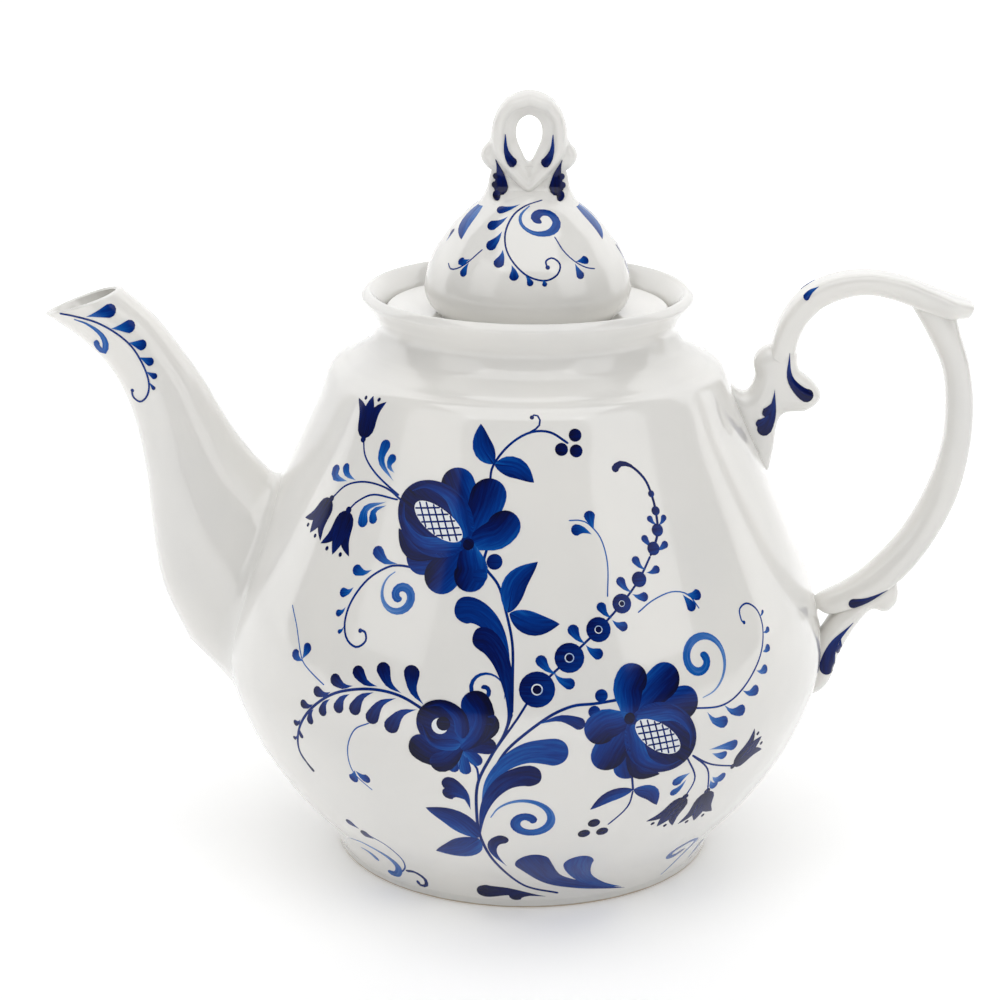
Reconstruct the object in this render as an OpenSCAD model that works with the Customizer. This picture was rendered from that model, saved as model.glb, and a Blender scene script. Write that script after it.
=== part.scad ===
// Porcelain teapot: a bulging body with a flared neck, an S-shaped spout, an ear-shaped
// two-strip handle and a domed lift-off lid with a pierced knob.
// The pot's axis is Z, the foot stands on Z = 0, the spout points to -X and the handle to +X.

/* [Body] */
// Outer diameter of the foot
foot_d = 103; // [96:1:108]
// Largest outer diameter of the body
belly_d = 162.6; // [156:0.2:168]
// Thickness of the cast wall
wall = 4.2; // [3.6:0.1:5]
// Height of the standing ring under the floor
foot_h = 2.4; // [1.6:0.1:3]

/* [Neck] */
// Outer diameter at the narrowest part of the neck
neck_d = 79.8; // [78:0.2:82]
// Outer diameter of the flared rim
rim_d = 87.8; // [86:0.2:90]
// Diameter of the mouth that the lid's skirt goes into
mouth_d = 70; // [68:0.5:71]
// Diameter of the recess that the lid's brim lies in
seat_d = 76; // [75:0.5:76.5]
// Width of the gap between the lid and the neck, all round
lid_gap = 0.4; // [0.3:0.05:0.6]

/* [Strainer] */
// Diameter of each pierced hole
strainer_hole_d = 6; // [4.5:0.5:6]
// Distance of the outer holes from the middle one
strainer_pitch = 11; // [10:0.5:12]

/* [Spout] */
// Thickness of the spout's wall
spout_wall = 2.8; // [2.4:0.1:3.2]
// How much narrower the pouring lip is than the rest of the mouth
lip_taper = 0.45; // [0:0.05:0.6]

/* [Lid] */
// Thickness of the lid's dome
lid_wall = 3.8; // [3.6:0.1:4]
// Depth of the skirt below the brim
skirt_h = 5.9; // [4:0.1:8]
// Diameter of the steam hole
vent_d = 3; // [2:0.5:4]

/* [Handle] */
// Thickness of the handle's two leaf-shaped roots
root_t = 9; // [7:0.5:11]
// Thickness of the knob's ring
knob_t = 9.5; // [6:0.5:10]

/* [Hidden] */
$fn = 96;

porcelain = "ghostwhite";
bare_porcelain = "antiquewhite";
painted_porcelain = "lightsteelblue";

// Heights above the table
belly_z = 56;
joint_z = 140.3;
seat_z = 148.8;
rim_z = 155.9;
dome_z = 149.3;
spout_root_z = 74;

foot_r = foot_d / 2;
belly_r = belly_d / 2;
neck_r = neck_d / 2;
rim_r = rim_d / 2;
mouth_r = mouth_d / 2;
seat_r = seat_d / 2;
joint_r = 44;
lute_depth = 2;
eps = 0.01;

// A smooth curve through key points, with some steps between each two.
function blend(a, b, c, d, t) =
    (2 * b + (c - a) * t + (2 * a - 5 * b + 4 * c - d) * t * t + (3 * b - a - 3 * c + d) * t * t * t) / 2;
function stretched(p) = concat([2 * p[0] - p[1]], p, [2 * p[len(p) - 1] - p[len(p) - 2]]);
function curve(p, steps) =
    let (q = stretched(p))
    [for (i = [1 : len(q) - 3]) for (k = [0 : steps - 1])
        blend(q[i - 1], q[i], q[i + 1], q[i + 2], k / steps), p[len(p) - 1]];
function closed_curve(p, steps) =
    let (n = len(p))
    [for (i = [0 : n - 1]) for (k = [0 : steps - 1])
        blend(p[(i + n - 1) % n], p[i], p[(i + 1) % n], p[(i + 2) % n], k / steps)];
function flipped(p) = [for (i = [len(p) - 1 : -1 : 0]) p[i]];
function mirrored(p) = [for (i = [len(p) - 1 : -1 : 0]) [-p[i][0], p[i][1]]];

// A curve moved sideways by a distance, to its left as it runs.
function unit(v) = v / norm(v);
function along(p, i) = unit(p[min(i + 1, len(p) - 1)] - p[max(i - 1, 0)]);
function moved_left(p, distance) =
    [for (i = [0 : len(p) - 1]) p[i] + distance * [-along(p, i)[1], along(p, i)[0]]];

// The body's outline, radius and height, from the foot up to the neck joint.
lower_swell = belly_r - foot_r;
upper_swell = belly_r - joint_r;
body_outline = curve([
    [foot_r + 0.01 * lower_swell, foot_h],
    [foot_r + 0.165 * lower_swell, 10],
    [foot_r + 0.506 * lower_swell, 22],
    [foot_r + 0.826 * lower_swell, 38],
    [belly_r, belly_z],
    [joint_r + 0.911 * upper_swell, 76],
    [joint_r + 0.645 * upper_swell, 100],
    [joint_r + 0.35 * upper_swell, 124],
    [joint_r + 0.236 * upper_swell, 134.4],
    [joint_r + 0.115 * upper_swell, 137.6],
    [joint_r, joint_z]], 5);
body_by_height = [for (p = body_outline) [p[1], p[0]]];
function body_r(z) = lookup(z, body_by_height);

// A point of a side piece moved onto the body, sunk into its wall by the luting depth.
function on_body(p, side) = [side * sqrt(pow(body_r(p[2]) - lute_depth, 2) - p[1] * p[1]), p[1], p[2]];

module revolved(outline) {
    rotate_extrude() polygon(outline);
}

module pot_wall() {
    inside = moved_left(body_outline, wall);
    floor_z = foot_h + 1.2 * wall;
    inner = [for (p = inside) if (p[1] > floor_z && p[0] > joint_r) p];
    color(porcelain)
    difference() {
        revolved(concat([[0, foot_h]], body_outline, [[joint_r, joint_z - wall]],
                        flipped(inner), [[inner[0][0] - 1, floor_z], [0, floor_z]]));
        strainer_holes();
    }
}

module strainer_holes() {
    translate([-belly_r, 0, spout_root_z]) rotate([0, 90, 0]) {
        strainer_hole();
        for (turn = [0 : 60 : 300])
            rotate(turn) translate([strainer_pitch, 0, 0]) strainer_hole();
    }
}

module strainer_hole() {
    cylinder(d = strainer_hole_d, h = 30);
}

module neck_collar() {
    flare = curve([[joint_r, joint_z], [neck_r + 1.6, 142.6], [neck_r, 146.6], [neck_r + 1.6, 150],
                   [rim_r - 0.5, 153], [rim_r, rim_z - 1.5], [rim_r - 1.6, rim_z],
                   [rim_r - 3.2, rim_z - 1]], 5);
    color(porcelain)
    revolved(concat(flare, [[seat_r + 0.2, seat_z + 2.8], [seat_r, seat_z + 2], [seat_r, seat_z],
                            [mouth_r, seat_z], [mouth_r, joint_z - wall], [joint_r, joint_z - wall]]));
}

module foot_ring() {
    color(bare_porcelain)
    revolved([[foot_r - 5.5, 0.4], [foot_r - 5, 0], [foot_r - 0.5, 0], [foot_r, 0.5],
              [foot_r, foot_h], [foot_r - 7, foot_h]]);
}

// A ring of points round a section. A section is [x, z of one edge, x, z of the other edge, half width].
round_steps = 24;
function edge_a(s) = [s[0], 0, s[1]];
function edge_b(s) = [s[2], 0, s[3]];
function ring(s, inset, taper) =
    let (middle = (edge_a(s) + edge_b(s)) / 2, reach = edge_a(s) - middle, half = norm(reach))
    [for (k = [0 : round_steps - 1])
        let (turn = 360 * k / round_steps, narrow = 1 - taper * pow((1 + cos(turn)) / 2, 2))
        middle + unit(reach) * (half - inset) * cos(turn)
               + [0, (s[4] - inset) * narrow * sin(turn), 0]];
function ring_on_body(s, inset, side) = [for (p = ring(s, inset, 0)) on_body(p, side)];
function centre(points) = [for (i = [0 : 2]) [for (p = points) 1] * [for (p = points) p[i]]] / len(points);

// Quads between two rings of a list of points, by the numbers of their first points.
function band(from, to) =
    [for (k = [0 : round_steps - 1])
        let (next = (k + 1) % round_steps) [from + k, from + next, to + next, to + k]];
function fan(from, middle) = [for (k = [0 : round_steps - 1]) [middle, from + (k + 1) % round_steps, from + k]];

// A solid bar through a row of rings.
module bar(rings) {
    last = len(rings) - 1;
    points = [for (r = rings) each r];
    count = len(points);
    polyhedron(
        concat(points, [centre(rings[0]), centre(rings[last])]),
        concat([for (i = [0 : last - 1]) each band(i * round_steps, (i + 1) * round_steps)],
               fan(0, count), [for (f = fan(last * round_steps, count + 1)) flipped(f)]),
        convexity = 8);
}

// A hollow tube, open at both ends, between an outer and an inner row of rings.
module tube(outer, inner) {
    last = len(outer) - 1;
    inside = (last + 1) * round_steps;
    polyhedron(
        concat([for (r = outer) each r], [for (r = inner) each r]),
        concat([for (i = [0 : last - 1]) each band(i * round_steps, (i + 1) * round_steps)],
               [for (i = [0 : last - 1]) each band(inside + (i + 1) * round_steps, inside + i * round_steps)],
               band(inside, 0), band(last * round_steps, inside + last * round_steps)),
        convexity = 8);
}

// The spout's sections, from the body up to the pouring mouth.
spout_root = [-79, 43.5, -66, 102.6, 21];
spout_sections = curve([
    [-92, 57, -69.6, 104.6, 19.2],
    [-99, 73, -73.4, 108.8, 17],
    [-101.5, 90, -78.4, 115.4, 14.8],
    [-103, 106.5, -82.4, 122, 12.6],
    [-106.2, 122, -86.7, 129.8, 10.8],
    [-111.4, 133, -92.6, 138.4, 9.8],
    [-119, 141, -99.5, 147.3, 9.6],
    [-128.3, 147.6, -107.8, 154.6, 9.8]], 2);

module spout() {
    last = len(spout_sections) - 1;
    outer = [for (i = [0 : last]) ring(spout_sections[i], 0, lip_taper * pow(i / last, 3))];
    inner = [for (i = [0 : last]) ring(spout_sections[i], spout_wall - i / last, lip_taper * pow(i / last, 3))];
    color(painted_porcelain)
    tube(concat([ring_on_body(spout_root, 0, -1)], outer),
         concat([ring_on_body(spout_root, spout_wall, -1)], inner));
}

// The handle's upper strip, from its root over the top to the thumb rest.
arch_sections = curve([
    [64.5, 139, 71, 134.5, 4.6],
    [66.9, 147.4, 72.7, 144, 4.8],
    [72, 155, 77, 150.3, 5.2],
    [80, 159.7, 82.7, 153.6, 5.5],
    [90, 161.2, 90, 155, 5.8],
    [99.8, 159.6, 98, 153.4, 6],
    [107.4, 156.8, 105, 150.6, 6.6],
    [113, 154.6, 111.6, 149.8, 7.6],
    [117.8, 153.2, 117.2, 151.2, 5]], 2);

module handle_arch() {
    color(porcelain) bar([for (s = arch_sections) ring(s, 0, 0)]);
}

// The handle's lower strip, from under the thumb rest down to the body.
drop_sections = curve([
    [113, 151.4, 102, 152, 4.4],
    [115, 145, 106.4, 144.6, 5.2],
    [118, 135.5, 111, 134.8, 5.4],
    [119.5, 124, 112.4, 124, 5.4],
    [118.9, 112, 111.7, 113, 5.4],
    [116.2, 99.5, 108.4, 101.5, 5.4],
    [110.8, 87.6, 102.4, 89.8, 5.3],
    [104.2, 78, 94.4, 80.2, 5.2],
    [95.8, 70.6, 87.8, 74.8, 5],
    [84.6, 66, 81, 71.2, 4],
    [79.6, 67.6, 79, 69.6, 2.6]], 2);

module handle_drop() {
    color(porcelain) bar([for (s = drop_sections) ring(s, 0, 0)]);
}

// A flat leaf-shaped piece cut from an outline in the plane of the handle.
module flat_piece(outline, thickness) {
    rotate([90, 0, 0]) translate([0, 0, -thickness / 2])
        linear_extrude(height = thickness) polygon(outline);
}

module handle_upper_root() {
    color(painted_porcelain)
    flat_piece(closed_curve([
        [65.2, 141], [62, 139.6], [60.4, 136.4], [61, 132.4], [58.5, 128], [53, 130.5],
        [56, 119], [62.5, 106.6], [65.2, 106.2], [66.5, 112], [68.2, 121.8], [75, 123.2],
        [78.8, 127], [76.6, 131.2], [72.6, 134.6], [71.4, 140]], 4), root_t);
}

module handle_lower_root() {
    color(painted_porcelain)
    flat_piece(closed_curve([
        [98.8, 77], [101.6, 74.8], [102, 69.8], [99, 66.4], [95.2, 67.2], [91.8, 63.6], [88.8, 58.6],
        [86.4, 53.6], [84.6, 47], [82, 43.4], [78.6, 42.2], [77.2, 44.4], [79.4, 51], [79.8, 57.5],
        [82.4, 62.4], [85.6, 67], [92, 71.4]], 4), root_t);
}

// The lid's outline, radius and height, from its foot on the brim up to the top.
dome_outline = curve([[23.6, dome_z], [26.4, 152.6], [27.4, 157], [25.4, 164.6], [21.6, 170.6],
                      [18.4, 174.4], [12.4, 179.3], [6, 181.9], [0, 182.5]], 5);

module lid_dome() {
    inside = [for (p = moved_left(dome_outline, lid_wall)) if (p[0] > 0 && p[1] > dome_z) p];
    color(painted_porcelain)
    difference() {
        revolved(concat([[dome_outline[0][0] - lid_wall, dome_z]], dome_outline,
                        [[0, dome_outline[len(dome_outline) - 1][1] - lid_wall]], flipped(inside)));
        translate([0, 15, 168]) rotate([-45, 0, 0]) cylinder(d = vent_d, h = 16);
    }
}

module lid_brim() {
    brim_r = seat_r - lid_gap;
    plug_r = mouth_r - lid_gap;
    plug_z = seat_z - 2.9;
    dish = curve([[brim_r - 0.6, seat_z + 2.2], [32, 150], [27, 149.4], [23.6, dome_z]], 4);
    color(porcelain)
    revolved(concat([[dome_outline[0][0] - lid_wall, plug_z], [plug_r, plug_z], [plug_r, seat_z],
                     [brim_r, seat_z], [brim_r, seat_z + 1.7]], dish,
                    [[dome_outline[0][0] - lid_wall, dome_z]]));
}

module lid_skirt() {
    skirt_r = mouth_r - lid_gap;
    skirt_top = seat_z - 2.9;
    color(bare_porcelain)
    revolved([[skirt_r - 3.2, skirt_top - skirt_h], [skirt_r - 0.8, skirt_top - skirt_h],
              [skirt_r, skirt_top - skirt_h + 0.8], [skirt_r, skirt_top], [skirt_r - 3.2, skirt_top]]);
}

// The knob's stem, widening down onto the dome. Its sections are level.
stem_sections = curve([
    [-12.8, 178.7, 12.8, 178.7, 9.2],
    [-11.6, 180.6, 11.6, 180.6, 6.8],
    [-10.7, 183.5, 10.7, 183.5, 5],
    [-10.2, 186, 10.2, 186, 4.4],
    [-9.4, 188.6, 9.4, 188.6, 3.8]], 2);

module knob_stem() {
    color(painted_porcelain) bar([for (s = stem_sections) ring(s, 0, 0)]);
}

module knob_ring() {
    right_side = [[8.6, 186.6], [11, 188.2], [12.6, 190.8], [12, 193.2], [10.3, 195.2],
                  [9.8, 198.6], [9, 201.6], [7.4, 204.6], [4.4, 207.2]];
    right_of_eye = [[2.2, 193], [3.4, 196.6], [2.8, 200.2]];
    ring_outline = concat([[0, 186]], right_side, [[0, 208.4]], mirrored(right_side));
    eye = concat([[0, 189.4]], right_of_eye, [[0, 202]], mirrored(right_of_eye));
    color(painted_porcelain)
    difference() {
        flat_piece(closed_curve(ring_outline, 4), knob_t);
        flat_piece(closed_curve(eye, 4), knob_t + 2 * eps);
    }
}

pot_wall();
neck_collar();
foot_ring();
spout();
handle_arch();
handle_drop();
handle_upper_root();
handle_lower_root();
lid_dome();
lid_brim();
lid_skirt();
knob_stem();
knob_ring();
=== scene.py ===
"""Looks of a gzhel porcelain teapot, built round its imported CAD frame.
The porcelain pieces stand for the CAD nodes. The cobalt painting is laid on them stroke by stroke.
Shapes are written in millimetres and turned into metres when a mesh is made."""

import math

import bmesh
import bpy
import numpy as np
from mathutils import Matrix, Vector
from mathutils.bvhtree import BVHTree


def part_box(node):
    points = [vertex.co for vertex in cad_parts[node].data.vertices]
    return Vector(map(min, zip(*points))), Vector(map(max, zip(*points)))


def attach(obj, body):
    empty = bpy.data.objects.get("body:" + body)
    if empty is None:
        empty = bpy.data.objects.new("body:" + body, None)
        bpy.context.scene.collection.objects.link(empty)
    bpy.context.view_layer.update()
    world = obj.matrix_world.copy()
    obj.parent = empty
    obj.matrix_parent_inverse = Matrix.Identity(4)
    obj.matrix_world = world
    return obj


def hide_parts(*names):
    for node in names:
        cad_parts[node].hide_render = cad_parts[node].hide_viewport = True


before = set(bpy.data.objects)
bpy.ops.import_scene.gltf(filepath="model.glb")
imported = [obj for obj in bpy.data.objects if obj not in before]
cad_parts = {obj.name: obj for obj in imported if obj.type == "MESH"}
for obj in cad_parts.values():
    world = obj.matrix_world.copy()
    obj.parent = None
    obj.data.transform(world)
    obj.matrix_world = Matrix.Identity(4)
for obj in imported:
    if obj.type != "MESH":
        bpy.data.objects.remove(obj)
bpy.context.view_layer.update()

MM = 0.001


def low(node):
    """Lowest corner of a CAD node, in millimetres."""
    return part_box(node)[0] / MM


def high(node):
    """Highest corner of a CAD node, in millimetres."""
    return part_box(node)[1] / MM


# ---- driving sizes, from the frame
FOOT_R = high("foot_ring").x
FOOT_H = high("foot_ring").z
BELLY_R = high("pot_wall").x
JOINT_Z = high("pot_wall").z
RIM_R = high("neck_collar").x
RIM_Z = high("neck_collar").z
BRIM_R = high("lid_brim").x
PLUG_Z = low("lid_brim").z
DOME_Z = low("lid_dome").z
DOME_TOP = high("lid_dome").z
SKIRT_R = high("lid_skirt").x
SKIRT_Z = low("lid_skirt").z

WALL = 4.2
JOINT_R = 44
NECK_R = 39.9
MOUTH_R = 35
SEAT_R = 38
SEAT_Z = 148.8
LID_WALL = 3.8
SPOUT_WALL = 2.8
LIP_TAPER = 0.45
ROOT_T = 9
KNOB_T = 2 * high("knob_ring").y
TURNS = 256


# ---- curves
def catmull(a, b, c, d, t):
    return (2 * b + (c - a) * t + (2 * a - 5 * b + 4 * c - d) * t * t
            + (3 * b - a - 3 * c + d) * t * t * t) / 2


def curve(points, steps):
    """A smooth open curve through points of any number of numbers each."""
    p = [np.array(q, float) for q in points]
    p = [2 * p[0] - p[1]] + p + [2 * p[-1] - p[-2]]
    bent = [catmull(*p[i:i + 4], k / steps) for i in range(len(p) - 3) for k in range(steps)]
    return bent + [p[-2]]


def closed_curve(points, steps):
    p = [np.array(q, float) for q in points]
    n = len(p)
    return [catmull(p[i - 1], p[i], p[(i + 1) % n], p[(i + 2) % n], k / steps)
            for i in range(n) for k in range(steps)]


def unit(v):
    return v / max(np.linalg.norm(v), 1e-9)


def moved_left(p, distance):
    """A plane curve moved sideways, to its left as it runs."""
    moved = []
    for i in range(len(p)):
        along = unit(p[min(i + 1, len(p) - 1)] - p[max(i - 1, 0)])
        moved.append(p[i] + distance * np.array([-along[1], along[0]]))
    return moved


# ---- materials
def linear(r, g, b):
    """A colour in linear light from its 0 to 255 screen values."""
    return tuple(((c / 255 + 0.055) / 1.055) ** 2.4 if c > 10 else c / 255 / 12.92 for c in (r, g, b)) + (1,)


class Nodes:
    """A new material's node tree, with short calls to add to it."""

    def __init__(self, name):
        self.material = bpy.data.materials.new(name)
        self.material.use_nodes = True
        self.tree = self.material.node_tree
        self.place = self.add("ShaderNodeTexCoord").outputs["Object"]

    def add(self, kind, inputs=(), **settings):
        node = self.tree.nodes.new(kind)
        for key, value in settings.items():
            setattr(node, key, value)
        self.feed(node, inputs)
        return node

    def feed(self, node, inputs):
        """Sets a node's inputs. A value is a number, a colour or the output that feeds it."""
        for key, value in dict(inputs).items():
            if isinstance(value, bpy.types.NodeSocket):
                self.tree.links.new(value, node.inputs[key])
            else:
                node.inputs[key].default_value = value

    def noise(self, scale, detail=3, roughness=0.5, vector=None):
        inputs = {"Scale": scale, "Detail": detail, "Roughness": roughness, "Vector": vector or self.place}
        return self.add("ShaderNodeTexNoise", inputs).outputs["Fac"]

    def spread(self, value, low_to, high_to, low_from=0.3, high_from=0.7):
        inputs = {"Value": value, "From Min": low_from, "From Max": high_from,
                  "To Min": low_to, "To Max": high_to}
        return self.add("ShaderNodeMapRange", inputs).outputs["Result"]

    def total(self, a, b):
        return self.add("ShaderNodeMath", {0: a, 1: b}, operation="ADD").outputs["Value"]

    def ramp(self, value, stops):
        node = self.add("ShaderNodeValToRGB", {"Fac": value})
        elements = node.color_ramp.elements
        while len(elements) < len(stops):
            elements.new(0.5)
        for element, (place, colour) in zip(elements, stops):
            element.position = place
            element.color = colour
        return node.outputs["Color"]

    def bump(self, height, distance, after=None):
        inputs = {"Strength": 1, "Distance": distance, "Height": height}
        if after is not None:
            inputs["Normal"] = after
        return self.add("ShaderNodeBump", inputs).outputs["Normal"]

    def finished(self, inputs):
        self.feed(self.tree.nodes["Principled BSDF"], inputs)
        return self.material


def glaze_roughness(m):
    return m.spread(m.noise(60), 0.07, 0.15)


def glaze_waves(m):
    return m.bump(m.noise(30, 1), 0.4 * MM)


def glazed_porcelain():
    """White porcelain under a clear glaze: faint clouds of tint, a slow waviness and fine pitting."""
    m = Nodes("glazed_porcelain")
    return m.finished({
        "Base Color": m.ramp(m.noise(22, 4), [(0.3, linear(232, 230, 225)), (0.72, linear(224, 223, 220))]),
        "Roughness": glaze_roughness(m),
        "Normal": m.bump(m.noise(900, 2), 0.004 * MM, glaze_waves(m)),
        "IOR": 1.5,
        "Coat Weight": 0.5,
        "Coat Roughness": 0.03})


def bare_porcelain():
    """Fired clay without glaze: warmer, matt and finely grained, with rub marks."""
    m = Nodes("bare_porcelain")
    grain = m.noise(2200, 4, 0.7)
    rubbed = m.noise(120, 5, 0.6)
    return m.finished({
        "Base Color": m.ramp(rubbed, [(0.3, linear(226, 218, 204)), (0.7, linear(205, 192, 172))]),
        "Roughness": m.spread(grain, 0.6, 0.85),
        "Normal": m.bump(grain, 0.05 * MM)})


def cobalt_paint():
    """Cobalt brushwork under the glaze. Each stroke carries its tone and its brush direction."""
    m = Nodes("cobalt_paint")
    tone = m.add("ShaderNodeAttribute", attribute_name="tone").outputs["Fac"]
    brush = m.add("ShaderNodeAttribute", attribute_name="brush").outputs["Vector"]
    hairs = m.spread(m.noise(1, 4, 0.6, brush), -0.1, 0.1)
    colour = m.ramp(m.total(tone, hairs), [
        (0.0, linear(10, 12, 44)),
        (0.18, linear(2, 20, 84)),
        (0.4, linear(0, 48, 128)),
        (0.6, linear(12, 84, 164)),
        (0.8, linear(84, 128, 190)),
        (0.92, linear(156, 182, 216)),
        (1.0, linear(226, 229, 232))])
    return m.finished({
        "Base Color": colour,
        "Roughness": glaze_roughness(m),
        "Normal": glaze_waves(m),
        "Specular IOR Level": 0.22})


def foot_porcelain():
    """Glazed down to the edge that it stood on in the kiln, which is bare and a little brown."""
    m = Nodes("foot_porcelain")
    height = m.add("ShaderNodeSeparateXYZ", {"Vector": m.place}).outputs["Z"]
    ragged = m.total(height, m.spread(m.noise(160), -0.1 * MM, 0.1 * MM))
    glaze = m.spread(ragged, 0, 1, 0.25 * MM, 0.75 * MM)
    stops = [(0.0, linear(204, 192, 174)), (0.45, linear(170, 150, 124)), (1.0, linear(228, 227, 223))]
    return m.finished({
        "Base Color": m.ramp(glaze, stops),
        "Roughness": m.spread(glaze, 0.75, 0.1, 0, 1),
        "Normal": m.bump(m.noise(2200, 4, 0.7), 0.02 * MM)})


def grey(level):
    return (level, level, level, 1)


def floor_material():
    """A pale floor with painted light: it glows a little, and least close to the object, which leaves a
    painted shade round it.
    """
    m = Nodes("studio_floor")
    from_object = m.add("ShaderNodeVectorMath", {0: m.place}, operation="LENGTH").outputs["Value"]
    far_away = m.spread(from_object, 0, 1, 0, 4)
    # Painted light: the glow is dimmest next to the object, a painted shade under it, and brightest far
    # away.
    stops = [(0.04, grey(0.18)), (0.125, grey(0.5)), (0.5, grey(0.55)), (1, grey(1))]
    return m.finished({
        "Base Color": m.ramp(m.noise(4, 2), [(0.3, grey(0.93)), (0.7, grey(0.95))]),
        "Roughness": 0.9,
        "Emission Color": grey(1),
        "Emission Strength": m.ramp(far_away, stops)})


PORCELAIN = glazed_porcelain()
BARE = bare_porcelain()
FOOT_GLAZE = foot_porcelain()
COBALT = cobalt_paint()


# ---- mesh making
def new_object(name, points, faces):
    mesh = bpy.data.meshes.new(name)
    mesh.from_pydata([Vector(p) * MM for p in points], [], faces)
    mesh.validate()
    obj = bpy.data.objects.new(name, mesh)
    bpy.context.scene.collection.objects.link(obj)
    return obj


def with_modifier(obj, kind, **settings):
    """The object's mesh becomes what a modifier makes of it."""
    modifier = obj.modifiers.new(kind, kind)
    for key, value in settings.items():
        setattr(modifier, key, value)
    shaped = obj.evaluated_get(bpy.context.evaluated_depsgraph_get())
    made = bpy.data.meshes.new_from_object(shaped)
    obj.modifiers.clear()
    obj.data = made
    made.name = obj.name


CREASE = math.radians(38)


def turned_outward(obj):
    """Reverses the faces of a closed piece if they look inwards."""
    solid = bmesh.new()
    solid.from_mesh(obj.data)
    if solid.calc_volume(signed=True) < 0:
        bmesh.ops.reverse_faces(solid, faces=solid.faces)
        solid.to_mesh(obj.data)
    solid.free()


def finish_piece(obj, body, material, slot, *nodes):
    """Smooth shading and its material, and hides the CAD nodes that the piece stands for."""
    if nodes:
        turned_outward(obj)
    obj.data.shade_smooth()
    obj.data.set_sharp_from_angle(angle=CREASE)
    obj.data.materials.clear()
    obj.data.materials.append(material)
    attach(obj, body)
    if nodes:
        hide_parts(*nodes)
    return obj


def joined(rows):
    """Faces between neighbouring rows of point numbers. A repeated number is a pole."""
    faces = []
    for first, second in zip(rows, rows[1:]):
        for k in range(len(first)):
            n = (k + 1) % len(first)
            corners = list(dict.fromkeys([first[k], first[n], second[n], second[k]]))
            if len(corners) > 2:
                faces.append(corners)
    return faces


def revolved(name, outline, loop=False):
    """An outline (radius, height), listed upwards on its outside, turned about the axis."""
    points = []
    rows = []
    for r, z in outline:
        start = len(points)
        if r < 1e-4:
            points.append((0, 0, z))
            rows.append([start] * TURNS)
            continue
        turns = [2 * math.pi * k / TURNS for k in range(TURNS)]
        points += [(r * math.cos(t), r * math.sin(t), z) for t in turns]
        rows.append(list(range(start, start + TURNS)))
    if loop:
        rows.append(rows[0])
    return new_object(name, points, joined(rows))


def lofted(name, rings, loop=False):
    """A skin over rings of points. The ends close on their middles unless the rings form a loop."""
    count = len(rings[0])
    points = [p for ring in rings for p in ring]
    rows = [list(range(i * count, (i + 1) * count)) for i in range(len(rings))]
    if loop:
        rows.append(rows[0])
    else:
        for ring in (rings[0], rings[-1]):
            points.append(sum(ring) / count)
        rows = [[len(points) - 2] * count] + rows + [[len(points) - 1] * count]
    return new_object(name, points, joined(rows))


def cut(obj, cutter):
    """Takes the cutter's shape out of the object."""
    with_modifier(obj, "BOOLEAN", operation="DIFFERENCE", solver="EXACT", object=cutter)
    bpy.data.objects.remove(cutter)


def drill(name, start, direction, length, radius, sides=32):
    """A closed round bar along a direction, to cut a hole with."""
    turn = Vector(direction).to_track_quat("Z", "Y")
    angles = [2 * math.pi * k / sides for k in range(sides)]
    rings = []
    for reach in (0, length):
        edge = [Vector((radius * math.cos(a), radius * math.sin(a), reach)) for a in angles]
        rings.append([np.array(Vector(start) + turn @ p) for p in edge])
    return lofted(name, rings)


# ---- pot wall, collar and foot
LOWER_SWELL = BELLY_R - FOOT_R
UPPER_SWELL = BELLY_R - JOINT_R
BODY_KEYS = [
    (FOOT_R + 0.01 * LOWER_SWELL, FOOT_H),
    (FOOT_R + 0.165 * LOWER_SWELL, 10),
    (FOOT_R + 0.506 * LOWER_SWELL, 22),
    (FOOT_R + 0.826 * LOWER_SWELL, 38),
    (BELLY_R, 56),
    (JOINT_R + 0.911 * UPPER_SWELL, 76),
    (JOINT_R + 0.645 * UPPER_SWELL, 100),
    (JOINT_R + 0.35 * UPPER_SWELL, 124),
    (JOINT_R + 0.236 * UPPER_SWELL, 134.4),
    (JOINT_R + 0.115 * UPPER_SWELL, 137.6),
    (JOINT_R, JOINT_Z)]
COLLAR_KEYS = [
    (NECK_R + 1.6, 142.6), (NECK_R, 146.6), (NECK_R + 1.6, 150), (RIM_R - 0.5, 153),
    (RIM_R, RIM_Z - 1.5), (RIM_R - 1.6, RIM_Z), (RIM_R - 3.2, RIM_Z - 1)]
OUTLINE_STEPS = 10
side_line = curve(BODY_KEYS + COLLAR_KEYS, OUTLINE_STEPS)
joint_at = (len(BODY_KEYS) - 1) * OUTLINE_STEPS
body_line = side_line[:joint_at + 1]
collar_line = side_line[joint_at:]
BODY_Z = np.array([p[1] for p in body_line])
BODY_RADII = np.array([p[0] for p in body_line])


def body_r(z):
    return float(np.interp(z, BODY_Z, BODY_RADII))


STRAINER_Z = 74
STRAINER_PITCH = 11
STRAINER_R = 3


def make_pot():
    floor_z = FOOT_H + 1.2 * WALL
    inner = [p for p in moved_left(body_line, WALL) if p[1] > floor_z + 2.5 and p[0] > JOINT_R]
    corner = inner[0][0]
    floor = [(corner - 1.2, floor_z + 1), (corner - 4, floor_z), (0, floor_z)]
    pot = revolved("pot_wall_glazed", [(0, FOOT_H)] + body_line + [(JOINT_R, JOINT_Z - WALL)]
                   + inner[::-1] + floor)
    for turn in [None] + [math.radians(60 * k) for k in range(6)]:
        reach = 0 if turn is None else STRAINER_PITCH
        turn = turn or 0
        start = (-BELLY_R, reach * math.sin(turn), STRAINER_Z - reach * math.cos(turn))
        cut(pot, drill("strainer_drill", start, (1, 0, 0), 30, STRAINER_R))
    return finish_piece(pot, "pot", PORCELAIN, "porcelain_painted", "pot_wall")


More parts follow.
